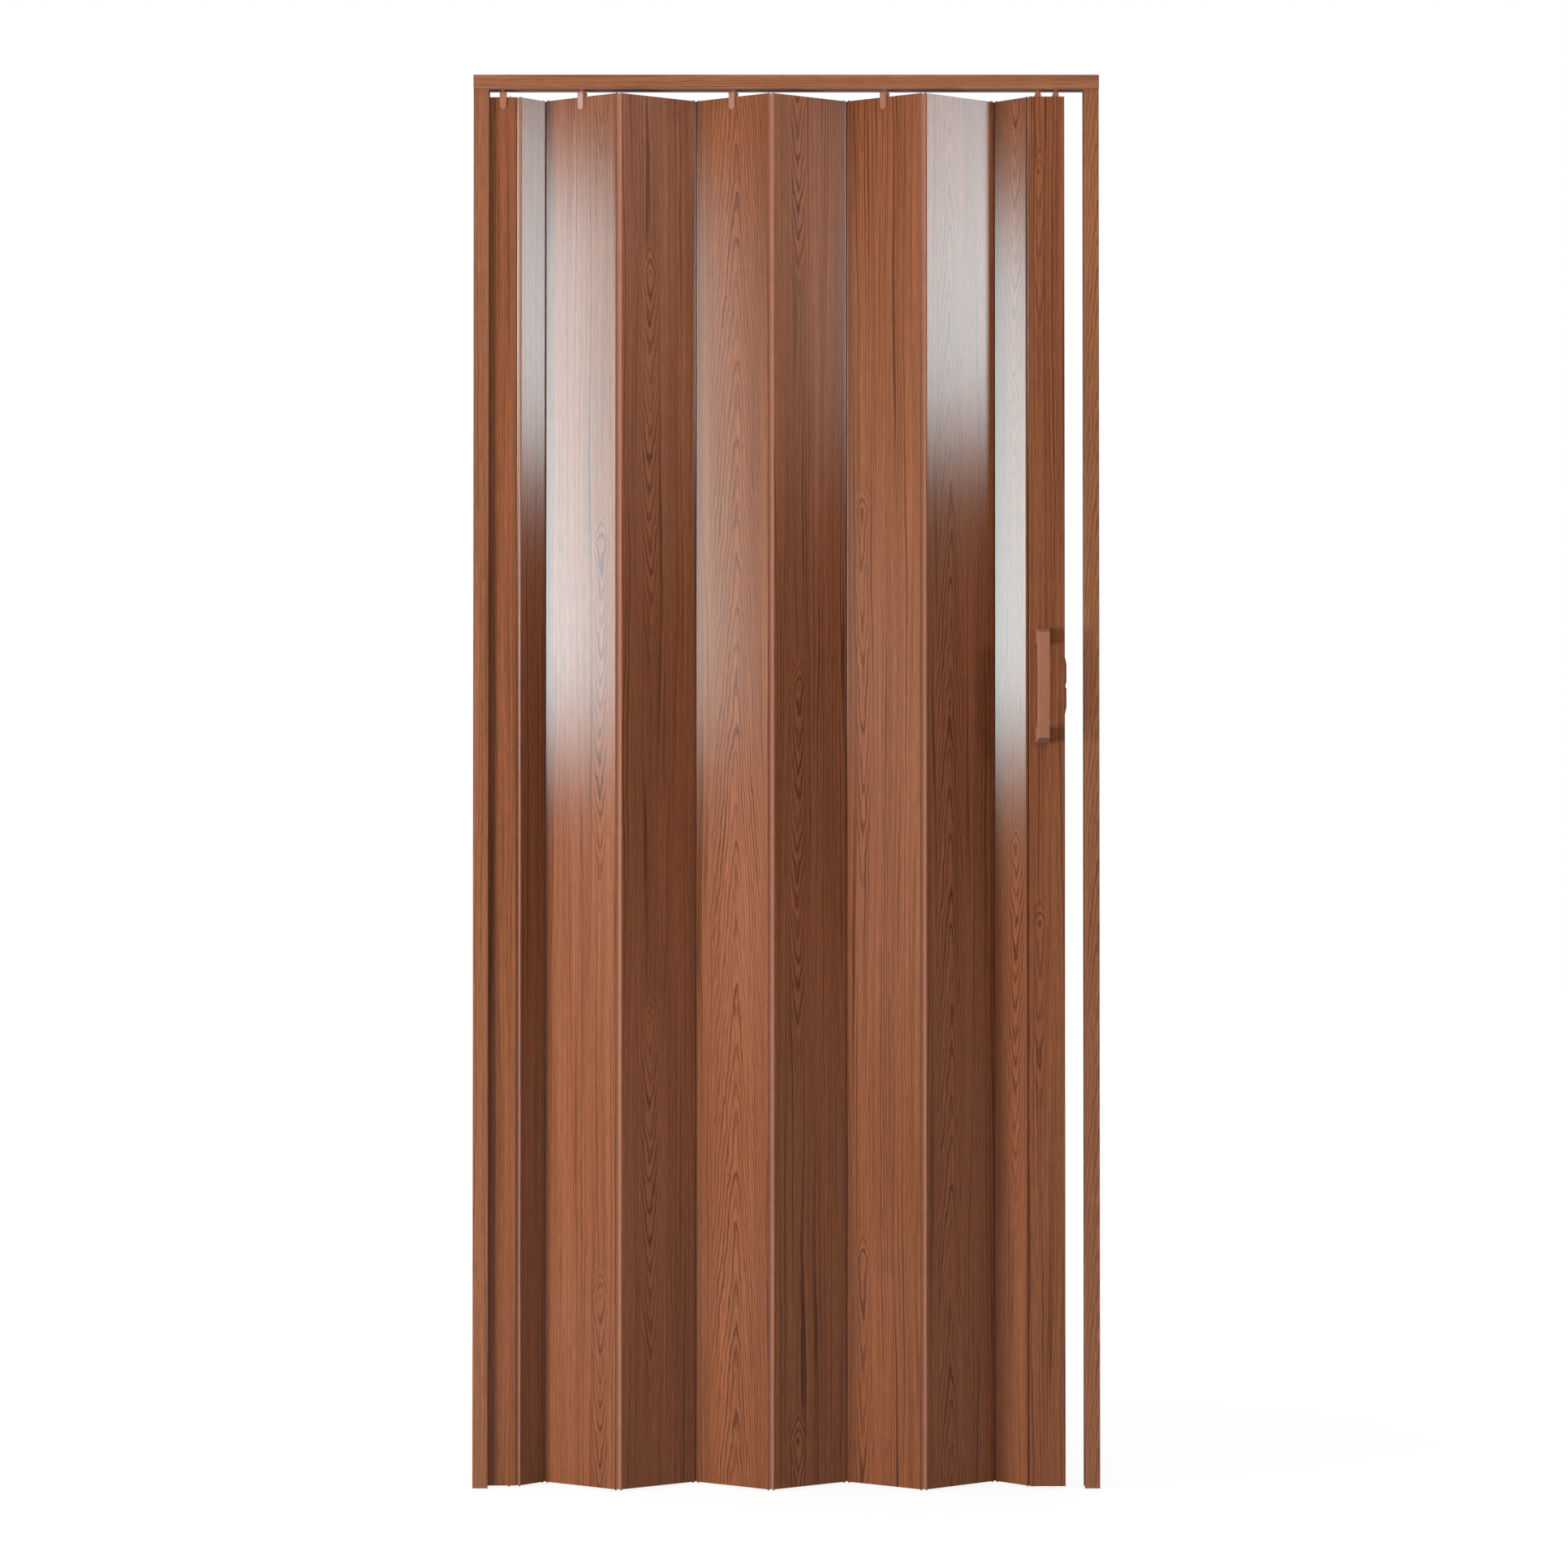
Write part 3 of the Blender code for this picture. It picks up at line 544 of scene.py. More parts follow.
class Nodes:
    """Short ways to add and wire shader nodes in one material or world."""

    def __init__(self, tree):
        self.tree = tree

    def add(self, kind, **values):
        node = self.tree.nodes.new(kind)
        for key, value in values.items():
            setattr(node, key, value)
        return node

    def feed(self, socket, value):
        if isinstance(value, bpy.types.NodeSocket):
            self.tree.links.new(value, socket)
        else:
            socket.default_value = value

    def math(self, operation, first, second=0.0):
        node = self.add("ShaderNodeMath", operation=operation)
        self.feed(node.inputs[0], first)
        self.feed(node.inputs[1], second)
        return node.outputs[0]

    def vector(self, x, y, z):
        node = self.add("ShaderNodeCombineXYZ")
        for socket, value in zip(node.inputs, (x, y, z)):
            self.feed(socket, value)
        return node.outputs[0]

    def noise(self, vector, scale, detail):
        node = self.add("ShaderNodeTexNoise", noise_dimensions="3D")
        self.feed(node.inputs["Vector"], vector)
        self.feed(node.inputs["Scale"], scale)
        self.feed(node.inputs["Detail"], detail)
        return node.outputs[0]

    def ramp(self, factor, stops, curve="LINEAR"):
        """Colour ramp through (place, colour) stops."""
        node = self.add("ShaderNodeValToRGB")
        node.color_ramp.interpolation = curve
        elements = node.color_ramp.elements
        while len(elements) < len(stops):
            elements.new(0.5)
        for element, (place, colour) in zip(elements, stops):
            element.position = place
            element.color = (*colour, 1.0)
        self.feed(node.inputs[0], factor)
        return node.outputs[0]

    def span(self, value, low, high, to_low, to_high, smooth=False):
        """The value's way from low to high, carried over to to_low and to_high and held at its ends."""
        node = self.add("ShaderNodeMapRange")
        node.interpolation_type = "SMOOTHSTEP" if smooth else "LINEAR"
        for socket, number in zip(node.inputs, (value, low, high, to_low, to_high)):
            self.feed(socket, number)
        return node.outputs[0]

    def mix(self, factor, first, second):
        """Mix of two colours, whose sockets come after the node's own ones for numbers and vectors."""
        node = self.add("ShaderNodeMix", data_type="RGBA")
        self.feed(node.inputs[0], factor)
        self.feed(node.inputs[6], first)
        self.feed(node.inputs[7], second)
        return node.outputs[2]

    def scaled(self, colour, factor):
        node = self.add("ShaderNodeVectorMath", operation="SCALE")
        self.feed(node.inputs[0], colour)
        self.feed(node.inputs["Scale"], factor)
        return node.outputs[0]

    def bump(self, height, strength, distance):
        node = self.add("ShaderNodeBump")
        self.feed(node.inputs["Strength"], strength)
        self.feed(node.inputs["Distance"], distance)
        self.feed(node.inputs["Height"], height)
        return node.outputs[0]


def new_material(name):
    material = bpy.data.materials.new(name)
    material.use_nodes = True
    return material, Nodes(material.node_tree), material.node_tree.nodes["Principled BSDF"]


def grey(level):
    return (level, level, level)


def tinted(colour, tone):
    return (colour[0] * tone, colour[1] * tone, colour[2] * tone, 1.0)


def shades(colour, low, high):
    """Ramp stops from a darker to a lighter shade of one colour."""
    return [(place, tinted(colour, tone)[:3]) for place, tone in zip(SKIN_RANGE, (low, high))]


def wood_material(name, wrap, centre=0.05, eye=None, step=0.040, narrow=0.0052, half=0.0, reach=0.5,
                  skew=0.0, wild=0.6, ring=0.0048, glow=0.0, bold=0.8, plain=0.8, tone=1.0, seed=0.0,
                  light=PRINT_LIGHT, dark=PRINT_DARK, sheen=WHITE, painted_fold_shade=None):
    """Printed wood under gloss: straight rings with a heart of nested tips, fibres and pores.

    The print wraps round the piece, whose half depth is wrap. The heart runs at centre across it,
    half wide on each side, with a tip at each step. With an eye, at that height in each print length,
    the tips point down and fade out at reach below it; without one they point up along the piece.
    narrow is the spacing of the heart's lines, ring that of the others, skew leans the tips, wild
    unsettles them and glow lightens the heart, whose lines are as strong as bold and the rest as plain.
    sheen tints the gloss, which dies out across from the first to the second place of the last
    argument: painted shade, a dark band beside a fold that stands in for the next panel's shade and
    mirror image, which don't show in the gloss here.
    """
    material, nodes, shader = new_material(name)
    split = nodes.add("ShaderNodeSeparateXYZ")
    nodes.feed(split.inputs[0], nodes.add("ShaderNodeTexCoord").outputs["Object"])
    across = nodes.math("ADD", nodes.math("ADD", split.outputs[0], split.outputs[1]), wrap)
    along = split.outputs[2]

    def grain(layer, start=across):
        """Noise in the cells of one layer, measured across from the start."""
        wide, tall, shift, detail = layer
        place = nodes.vector(nodes.math("MULTIPLY", start, wide), nodes.math("MULTIPLY", along, tall),
                             seed + shift)
        return nodes.noise(place, 1.0, detail)

    def inside(value, size, rim):
        """One within the size and none beyond it, fading between the two shares of it in rim."""
        return nodes.span(value, rim[0] * size, rim[1] * size, 1.0, 0.0, True)

    def ring_lines(phase, shift, faint):
        """Dark lines, one for each whole phase, whose strength runs from faint to full."""
        stops = [(place, grey(level)) for place, level in RING_STOPS]
        late = nodes.ramp(nodes.math("FRACT", phase), stops, "EASE")
        place = nodes.vector(nodes.math("MULTIPLY", nodes.math("FLOOR", phase), RING_CHANGE[0]),
                             nodes.math("MULTIPLY", along, RING_CHANGE[1]), seed + shift)
        share = nodes.span(nodes.noise(place, 1.0, 1.0), *RING_RANGE, faint, 1.0)
        return nodes.math("MULTIPLY", late, share)

    bend = nodes.span(grain(BEND_GRAIN), 0.0, 1.0, -RING_BEND, RING_BEND)
    ripple = nodes.span(grain(RIPPLE_GRAIN), 0.0, 1.0, -RING_RIPPLE, RING_RIPPLE)
    off = nodes.math("ADD", nodes.math("SUBTRACT", across, centre), nodes.math("ADD", bend, ripple))
    uneven = nodes.math("MULTIPLY", grain(DRIFT_GRAIN, off), RING_DRIFT)
    phase = nodes.math("ADD", nodes.math("DIVIDE", off, ring), uneven)
    lines = nodes.math("MULTIPLY", ring_lines(phase, shift=7.7, faint=0.1), plain)
    value = nodes.span(grain(STREAK_GRAIN), *NOISE_RANGE, *STREAK_SHADES)
    if half:
        near = nodes.math("ADD", nodes.math("MULTIPLY", off, off), HEART_ROUND * HEART_ROUND)
        near = nodes.math("SQRT", near)
        tips = nodes.math("DIVIDE", along, step)
        if eye is not None:
            below = nodes.math("FRACT", nodes.math(
                "DIVIDE", nodes.math("SUBTRACT", eye, along), PRINT_PERIOD))
            below = nodes.math("MULTIPLY", below, PRINT_PERIOD)
            above = nodes.math("SUBTRACT", PRINT_PERIOD, below)
            tips = nodes.math("MINIMUM", nodes.math("DIVIDE", below, step),
                              nodes.math("DIVIDE", above, EYE_CAP))
        wobble = nodes.math("ADD", nodes.span(grain(WOBBLE_GRAIN), 0.0, 1.0, -wild, wild),
                            nodes.span(grain(SHAKE_GRAIN), 0.0, 1.0, -TIP_SHAKE, TIP_SHAKE))
        phase = nodes.math("ADD", nodes.math("DIVIDE", near, narrow), nodes.math("ADD", tips, wobble))
        phase = nodes.math("ADD", phase, nodes.math("MULTIPLY", off, skew))
        heart = inside(nodes.math("ABSOLUTE", off), half, HEART_RIM)
        if eye is not None:
            chain = inside(below, reach, CHAIN_RIM)
            cap = inside(above, EYE_CAP, CAP_RIM)
            heart = nodes.math("MULTIPLY", heart, nodes.math("MAXIMUM", chain, cap))
        own = nodes.math("MULTIPLY", ring_lines(phase, shift=8.8, faint=0.45), bold)
        own = nodes.math("SUBTRACT", own, lines)
        lines = nodes.math("ADD", lines, nodes.math("MULTIPLY", own, heart))
        value = nodes.math("MULTIPLY", value, nodes.span(heart, 0.0, 1.0, 1.0, 1.0 + glow))

    fibre = grain(FIBRE_GRAIN)
    value = nodes.math("MULTIPLY", value, nodes.span(fibre, *NOISE_RANGE, *FIBRE_SHADES))
    value = nodes.math("MULTIPLY", value, nodes.span(grain(BAND_GRAIN), *NOISE_RANGE, *BAND_SHADES))
    value = nodes.math("MULTIPLY", value, nodes.span(grain(PORE_GRAIN), *PORE_RANGE, *PORE_SHADES))
    colour = nodes.mix(lines, tinted(light, tone), tinted(dark, tone))
    nodes.feed(shader.inputs["Base Color"], nodes.scaled(colour, value))
    rough = PRINT_ROUGHNESS + PRINT_ROUGHNESS_CHANGE
    sleek = PRINT_ROUGHNESS - PRINT_ROUGHNESS_CHANGE
    nodes.feed(shader.inputs["Roughness"], nodes.span(fibre, *SKIN_RANGE, rough, sleek))
    nodes.feed(shader.inputs["Normal"], nodes.bump(fibre, *PRINT_BUMP))
    shader.inputs["IOR"].default_value = PRINT_INDEX
    shader.inputs["Specular Tint"].default_value = (*sheen, 1.0)
    # Painted shade: near one edge the gloss fades to nothing, leaving a dark band where the next panel
    # would shade this one and show in its gloss
    if painted_fold_shade:
        gloss = nodes.span(across, *painted_fold_shade, GLOSS_LEVEL, 0.0, True)
        nodes.feed(shader.inputs["Specular IOR Level"], gloss)
    return material


def plastic_material(name, colour, roughness, gloss):
    """Plain moulded or extruded plastic: faint clouding, and a fine skin that breaks its gloss."""
    material, nodes, shader = new_material(name)
    coords = nodes.add("ShaderNodeTexCoord").outputs["Object"]
    cloud = nodes.noise(coords, *PLASTIC_CLOUDS)
    grain = nodes.noise(coords, *PLASTIC_SKIN)
    stops = shades(colour, 1.0 - PLASTIC_MOTTLE, 1.0 + PLASTIC_MOTTLE)
    sleek = roughness - PLASTIC_ROUGHNESS_CHANGE
    rough = roughness + PLASTIC_ROUGHNESS_CHANGE
    nodes.feed(shader.inputs["Base Color"], nodes.ramp(cloud, stops))
    nodes.feed(shader.inputs["Roughness"], nodes.span(grain, *SKIN_RANGE, sleek, rough))
    nodes.feed(shader.inputs["Normal"], nodes.bump(grain, *PLASTIC_BUMP))
    shader.inputs["Specular IOR Level"].default_value = gloss
    return material


def steel_material(name):
    """Drawn steel: fine streaks along the rod in colour and gloss."""
    material, nodes, shader = new_material(name)
    coords = nodes.add("ShaderNodeTexCoord").outputs["Object"]
    stretch = nodes.add("ShaderNodeMapping")
    stretch.inputs["Scale"].default_value = STEEL_STRETCH
    nodes.feed(stretch.inputs["Vector"], coords)
    streak = nodes.noise(stretch.outputs[0], *STEEL_STREAKS)
    nodes.feed(shader.inputs["Base Color"], nodes.ramp(streak, shades(STEEL_COLOUR, *STEEL_SHADES)))
    nodes.feed(shader.inputs["Roughness"], nodes.span(streak, *SKIN_RANGE, *STEEL_ROUGHNESS))
    shader.inputs["Metallic"].default_value = 1.0
    return material


HINGE = plastic_material("hinge_pvc", HINGE_COLOUR, roughness=0.45, gloss=0.25)
GLOSSY_HINGE = plastic_material("glossy_hinge_pvc", HINGE_COLOUR, roughness=0.25, gloss=0.62)
MOULDED = plastic_material("moulded_plastic", MOULD_COLOUR, roughness=0.34, gloss=0.22)
GLIDE = plastic_material("glide_plastic", MOULD_COLOUR, roughness=0.2, gloss=0.6)
STEEL = steel_material("drawn_steel")
FRAME_PRINT = dict(ring=0.0045, plain=0.7, light=FRAME_LIGHT, dark=FRAME_DARK)
PANEL_PRINTS = {
    "half_panel_left": dict(plain=0.7, tone=0.86, sheen=(0.93, 0.87, 0.845), seed=11.0),
    "panel_1": dict(centre=0.094, eye=0.274, half=0.012, bold=0.9, plain=0.7, tone=0.92, seed=1.0),
    "panel_2": dict(centre=0.045, eye=1.745, half=0.014, glow=0.14, bold=0.85, plain=0.75, seed=2.0),
    "panel_3": dict(centre=0.068, half=0.042, step=0.058, skew=40.0, wild=1.0, glow=0.08,
                    bold=0.8, plain=0.7, tone=0.89, sheen=(1.0, 0.93, 0.87), seed=3.0),
    "panel_4": dict(centre=0.039, eye=1.147, half=0.012, glow=0.10, bold=1.0, plain=0.9, tone=1.03,
                    seed=4.0),
    "panel_5": dict(centre=0.024, eye=1.404, half=0.011, step=0.080, bold=1.0, plain=0.85, tone=0.91,
                    sheen=(1.0, 0.90, 0.82), seed=5.0),
    # Panel 6's gloss fades out near its right edge: painted shade beside its fold with the right half
    # panel
    "panel_6": dict(centre=0.042, half=0.026, step=0.062, narrow=0.0050, skew=30.0, wild=1.0, glow=0.06,
                    bold=0.8, plain=0.8, tone=1.02, painted_fold_shade=(0.103, 0.115), seed=6.0),
    # Painted shade: the right half panel's print is toned down to stand in for the shade it sits in
    # beside panel 6
    "half_panel_right": dict(centre=0.036, eye=0.919, half=0.014, glow=0.12, bold=0.85, plain=0.55,
                             tone=0.86, sheen=(1.0, 0.905, 0.87), seed=7.0),
}


# Pieces

def make_panel(node):
    body = BODY_OF[node]
    length = link_length(body)
    mesh = outline_mesh(node, panel_loops(length, *panel_mouths(node)), PANEL_HEIGHT)
    material = wood_material(f"{node}_print", HALF_THICKNESS, **PANEL_PRINTS[node])
    add_piece(node, mesh, material, link_matrix(body) @ Matrix.Translation((0, 0, PANEL_BOTTOM)))


def pin_mesh(name):
    """Steel rod with rounded tips that stand a little proud of the panels' ends."""
    low, high = PANEL_BOTTOM - PIN_PROUD, PANEL_TOP + PIN_PROUD
    tip = PIN_RADIUS * PIN_TIP_SHARE
    top = [(r, high - tip + y * PIN_TIP_SHARE) for r, y in arc((0, 0), PIN_RADIUS, 90, 0)]
    bottom = [(r, low + tip + y * PIN_TIP_SHARE) for r, y in arc((0, 0), PIN_RADIUS, 0, -90)]
    return turned_mesh(name, top + bottom)


def make_strip(number):
    node = f"hinge_strip_{number}"
    body = BODY_OF[node]
    length = link_length(body)
    if number in (1, STRIP_COUNT):
        loops = end_strip_loops(length, number == 1)
    else:
        loops = fold_strip_loops(length, number % 2 == 1)
    place = link_matrix(body)
    rise = Matrix.Translation((0, 0, PANEL_BOTTOM))
    mesh = outline_mesh(node, loops, PANEL_HEIGHT)
    material = GLOSSY_HINGE if number == 1 else HINGE
    add_piece(node, mesh, material, place @ rise, STRIP_SMOOTH_ANGLE)
    for side, x in (("left", 0.0), ("right", length)):
        pin = f"hinge_pin_{number}_{side}"
        add_piece(pin, pin_mesh(pin), STEEL, place @ Matrix.Translation((x, 0, 0)))


def fixing_bores(length, wall, height, axis):
    """Cuts for three screw holes along a profile, through the wall at y = height, turned about axis."""
    cuts = []
    for along in (FIXING_INSET, length / 2, length - FIXING_INSET):
        bore = cylinder_mesh("bore", FIXING_RADIUS, -BORE_REACH * wall, BORE_REACH * wall)
        bore.transform(Matrix.Translation((0.0, height, along)) @ Matrix.Rotation(math.pi / 2, 4, axis))
        cuts.append((bore, "DIFFERENCE"))
    return cuts


def make_rail():
    """The rail lies along x, so that its outline's x becomes the depth and its y the height."""
    mesh = outline_mesh("head_rail", rail_loops(), FRAME_WIDTH)
    bores = fixing_bores(FRAME_WIDTH, RAIL_WALL, RAIL_HEIGHT, "X")
    turn = Matrix(((0, 0, 1, 0), (1, 0, 0, 0), (0, 1, 0, 0), (0, 0, 0, 1)))
    place = Matrix.Translation((-FRAME_WIDTH / 2, 0.0, RAIL_BOTTOM)) @ turn
    material = wood_material("rail_print", RAIL_DEPTH / 2, tone=1.15, seed=21.0, **FRAME_PRINT)
    add_piece("head_rail", combined(mesh, bores), material, place)


def make_jamb(node, right):
    height = RAIL_BOTTOM - SEAT_GAP
    mesh = outline_mesh(node, jamb_loops(), height)
    bores = fixing_bores(height, JAMB_WALL, 0.0, "Y")
    side, turn = (1, math.pi) if right else (-1, 0.0)
    place = Matrix.Translation((side * FRAME_WIDTH / 2, 0.0, 0.0)) @ Matrix.Rotation(turn, 4, "Z")
    figure = dict(tone=0.99, seed=22.0)
    if right:
        figure = dict(centre=JAMB_DEPTH, half=0.02, step=0.05, tone=1.17, seed=23.0)
    material = wood_material(f"{node}_print", JAMB_DEPTH / 2, **figure, **FRAME_PRINT)
    add_piece(node, combined(mesh, bores), material, place)


def make_starter():
    start = JOINT_FROM["frame"]
    place = Matrix.Translation((start.x, start.y, PANEL_BOTTOM))
    mesh = outline_mesh("starter_profile", starter_loops(), PANEL_HEIGHT)
    material = wood_material("starter_print", HALF_THICKNESS, plain=0.6, tone=0.90, seed=24.0)
    add_piece("starter_profile", mesh, material, place)
    glide = Matrix.Translation((start.x - STARTER_GLIDE_OFFSET, start.y, PANEL_TOP))
    add_piece("starter_glide", clip_glide_mesh("starter_glide"), GLIDE, glide)


def neck_mesh(name, bottom):
    """Neck and round head of a glide, from inside its body up into the rail."""
    profile = [(0.0, HEAD_HIGH), (HEAD_RADIUS - HEAD_CHAMFER, HEAD_HIGH)]
    profile += [(HEAD_RADIUS, HEAD_HIGH - HEAD_CHAMFER), (HEAD_RADIUS, HEAD_LOW)]
    profile += [(NECK_RADIUS, HEAD_LOW), (NECK_RADIUS, bottom), (0.0, bottom)]
    return turned_mesh(name, profile)


def upright(mesh, depth):
    """Turn a mesh drawn in x and z, extruded along its own z, to stand with its depth along y."""
    mesh.transform(Matrix.Translation((0.0, depth / 2, 0.0)) @ Matrix.Rotation(math.pi / 2, 4, "X"))
    return mesh


def clip_glide_mesh(name):
    """Glide that straddles a panel's top edge with a round-ended tab on each face."""
    half = GLIDE_WIDTH / 2
    inside = HALF_THICKNESS + SEAT_GAP
    depth = 2 * (inside + GLIDE_TAB)
    tab = arc((0.0, -GLIDE_DROP + half), half, 180, 360) + [(half, GLIDE_RISE), (-half, GLIDE_RISE)]
    body = upright(outline_mesh(name, [tab], depth), depth)
    for vertex in body.vertices:
        draft = GLIDE_DRAFT * (GLIDE_RISE - vertex.co.z) / (GLIDE_RISE + GLIDE_DROP)
        vertex.co.y -= math.copysign(draft, vertex.co.y)
    slot = box_mesh("slot", (-GLIDE_WIDTH, -inside, -2 * GLIDE_DROP), (GLIDE_WIDTH, inside, SEAT_GAP))
    neck = neck_mesh("neck", GLIDE_RISE / 2)
    return combined(body, [(slot, "DIFFERENCE"), (neck, "UNION")], GLIDE_EDGE)


def post_glide_mesh(name):
    """Glide with a plug that fits in the open top of the hollow post."""
    half = POST_GLIDE_WIDTH / 2
    shoulder = half - POST_GLIDE_SLANT * (POST_GLIDE_TOP - POST_GLIDE_SHOULDER)
    depth = POST_DEPTH - 2 * POST_WALL - 2 * SEAT_GAP
    outline = [(-half, -POST_GLIDE_PLUG), (half, -POST_GLIDE_PLUG), (half, POST_GLIDE_SHOULDER)]
    outline += [(shoulder, POST_GLIDE_TOP), (-shoulder, POST_GLIDE_TOP), (-half, POST_GLIDE_SHOULDER)]
    body = upright(outline_mesh(name, [outline], depth), depth)
    return combined(body, [(neck_mesh("neck", POST_GLIDE_SHOULDER / 2), "UNION")], GLIDE_EDGE)


def handle_mesh(name):
    """Bow handle: x across, y out from the post, z up, standing on y = 0 with its middle at z = 0."""
    half = HANDLE_LENGTH / 2
    gap = half - HANDLE_FOOT
    front_half = half - HANDLE_SLOPE
    steps = [i / BOW_STEPS - 1 for i in range(2 * BOW_STEPS + 1)]
    front = [(HANDLE_REACH + HANDLE_BOW * (1 - t * t), t * front_half) for t in steps]
    back = [(HANDLE_REACH - HANDLE_BAR + HANDLE_BOW * (1 - t * t), -t * gap) for t in steps]
    outline = [(0.0, -gap), (0.0, -half)] + front + [(0.0, half), (0.0, gap)] + back
    mesh = outline_mesh(name, [outline], HANDLE_WIDTH)
    for vertex in mesh.vertices:
        out, up, across = vertex.co
        side = (across - HANDLE_WIDTH / 2) * (1 - 2 * HANDLE_DRAFT / HANDLE_WIDTH * out / HANDLE_REACH)
        vertex.co = (side, out, up)
    edit = bmesh.new()
    edit.from_mesh(mesh)
    flat = math.radians(FLAT_ANGLE)
    bmesh.ops.dissolve_limit(edit, angle_limit=flat, verts=edit.verts, edges=edit.edges)
    bmesh.ops.recalc_face_normals(edit, faces=edit.faces)
    edit.to_mesh(mesh)
    edit.free()
    return mesh


def bolt_heights():
    offset = HANDLE_LENGTH / 2 - HANDLE_FOOT / 2
    return [("upper", offset), ("lower", -offset)]


def make_post():
    place = link_matrix("post")
    bolt_length = POST_DEPTH + 2 * BOLT_BITE
    across = Matrix.Rotation(math.pi / 2, 4, "X")
    bores = []
    for which, height in bolt_heights():
        spot = (HANDLE_OFFSET, 0.0, HANDLE_HEIGHT + height)
        half = bolt_length / 2 + BOLT_CLEARANCE
        bore = cylinder_mesh("bore", BOLT_RADIUS + BOLT_CLEARANCE, -half, half)
        bore.transform(Matrix.Translation(spot) @ across)
        bores.append(bore)
        half = bolt_length / 2
        profile = [(0.0, half), (BOLT_RADIUS - BOLT_BEVEL, half), (BOLT_RADIUS, half - BOLT_BEVEL)]
        profile += [(radius, -end) for radius, end in reversed(profile)]
        bolt = turned_mesh(f"handle_bolt_{which}", profile)
        add_piece(f"handle_bolt_{which}", bolt, STEEL, place @ Matrix.Translation(spot) @ across)

    rise = Matrix.Translation((0, 0, PANEL_BOTTOM))
    mesh = outline_mesh("lead_post", post_loops(), PANEL_HEIGHT)
    mesh.transform(rise)
    mesh = combined(mesh, [(bore.copy(), "DIFFERENCE") for bore in bores])
    mesh.transform(rise.inverted())
    material = wood_material(
        "post_print", POST_DEPTH / 2, centre=0.0103, eye=0.81, half=0.007, step=0.07, reach=0.25,
        bold=0.8, plain=0.9, tone=0.95, seed=25.0)
    add_piece("lead_post", mesh, material, place @ rise)

    for node, turn, side in (("handle_front", math.pi, -1), ("handle_rear", 0.0, 1)):
        face = side * (POST_DEPTH / 2 + SEAT_GAP)
        spot = Matrix.Translation((HANDLE_OFFSET, face, HANDLE_HEIGHT)) @ Matrix.Rotation(turn, 4, "Z")
        tools = []
        for bore in bores:
            tool = bore.copy()
            tool.transform(spot.inverted())
            tools.append((tool, "DIFFERENCE"))
        add_piece(node, combined(handle_mesh(node), tools, HANDLE_EDGE), MOULDED, place @ spot)

    catch = upright(outline_mesh("catch", catch_loops(), CATCH_DEPTH), CATCH_DEPTH)
    spot = Matrix.Translation((POST_RIGHT + SEAT_GAP, 0.0, HANDLE_HEIGHT))
    add_piece("catch", combined(catch, [], CATCH_EDGE), MOULDED, place @ spot)
    for number, x in enumerate(POST_GLIDE_PLACES, 1):
        node = f"post_glide_{number}"
        add_piece(node, post_glide_mesh(node), MOULDED, place @ Matrix.Translation((x, 0, PANEL_TOP)))


def make_striker():
    x = FRAME_WIDTH / 2 - JAMB_WALL - SEAT_GAP - STRIKER_THICKNESS
    half = CATCH_DEPTH / 2
    low = (x, -half, HANDLE_HEIGHT - CATCH_LENGTH / 2)
    high = (x + STRIKER_THICKNESS, half, HANDLE_HEIGHT + CATCH_LENGTH / 2)
    mesh = combined(box_mesh("striker", low, high), [], GLIDE_EDGE)
    add_piece("striker", mesh, STEEL, Matrix.Identity(4))


def make_pieces():
    make_rail()
    make_jamb("left_jamb", False)
    make_jamb("right_jamb", True)
    make_striker()
    make_starter()
    for node in PANEL_PRINTS:
        make_panel(node)
    for number in range(1, STRIP_COUNT + 1):
        make_strip(number)
    for node in GLIDE_PANELS:
        middle = Matrix.Translation((link_length(node) / 2, 0.0, PANEL_TOP))
        glide = f"{node}_glide"
        add_piece(glide, clip_glide_mesh(glide), GLIDE, link_matrix(node) @ middle)
    make_post()


# Studio: floor, soft boxes, lamps, world and camera

def quad(name, corners, material):
    mesh = bpy.data.meshes.new(name)
    mesh.from_pydata(corners, [], [(0, 1, 2, 3)])
    mesh.materials.append(material)
    card = bpy.data.objects.new(name, mesh)
    bpy.context.scene.collection.objects.link(card)
    return card


def floor_material():
    """Pale floor: white to the camera, faint in mirrors, matt enough to keep the object's shadow."""
    material, nodes, shader = new_material("pale_floor")
    path = nodes.add("ShaderNodeLightPath").outputs
    coords = nodes.add("ShaderNodeTexCoord").outputs["Object"]
    speck = nodes.noise(coords, *FLOOR_SPECKS)
    dark, pale = FLOOR_SHADES
    stops = [(0.0, grey(dark)), (1.0, grey(pale))]
    nodes.feed(shader.inputs["Base Color"], nodes.ramp(speck, stops))
    shader.inputs["Roughness"].default_value = FLOOR_ROUGHNESS
    shader.inputs["Specular IOR Level"].default_value = 0.0
    shader.inputs["Emission Color"].default_value = (*WHITE, 1.0)
    reach = nodes.add("ShaderNodeVectorMath", operation="LENGTH")
    nodes.feed(reach.inputs[0], coords)
    paper = nodes.span(reach.outputs["Value"], *PAPER_REACH, *PAPER_GLOW, True)
    mirrors = nodes.math("MAXIMUM", path["Is Glossy Ray"], path["Is Transmission Ray"])
    faint = nodes.math("MULTIPLY", mirrors, FLOOR_IN_GLOSS)
    glow = nodes.math("MAXIMUM", path["Is Camera Ray"], faint)
    nodes.feed(shader.inputs["Emission Strength"], nodes.math("MULTIPLY", glow, paper))
    return material


def make_floor():
    outline = rectangle(-FLOOR_HALF, -FLOOR_HALF, FLOOR_HALF, FLOOR_HALF)
    quad("floor", [(x, y, FLOOR_LEVEL) for x, y in outline], floor_material())


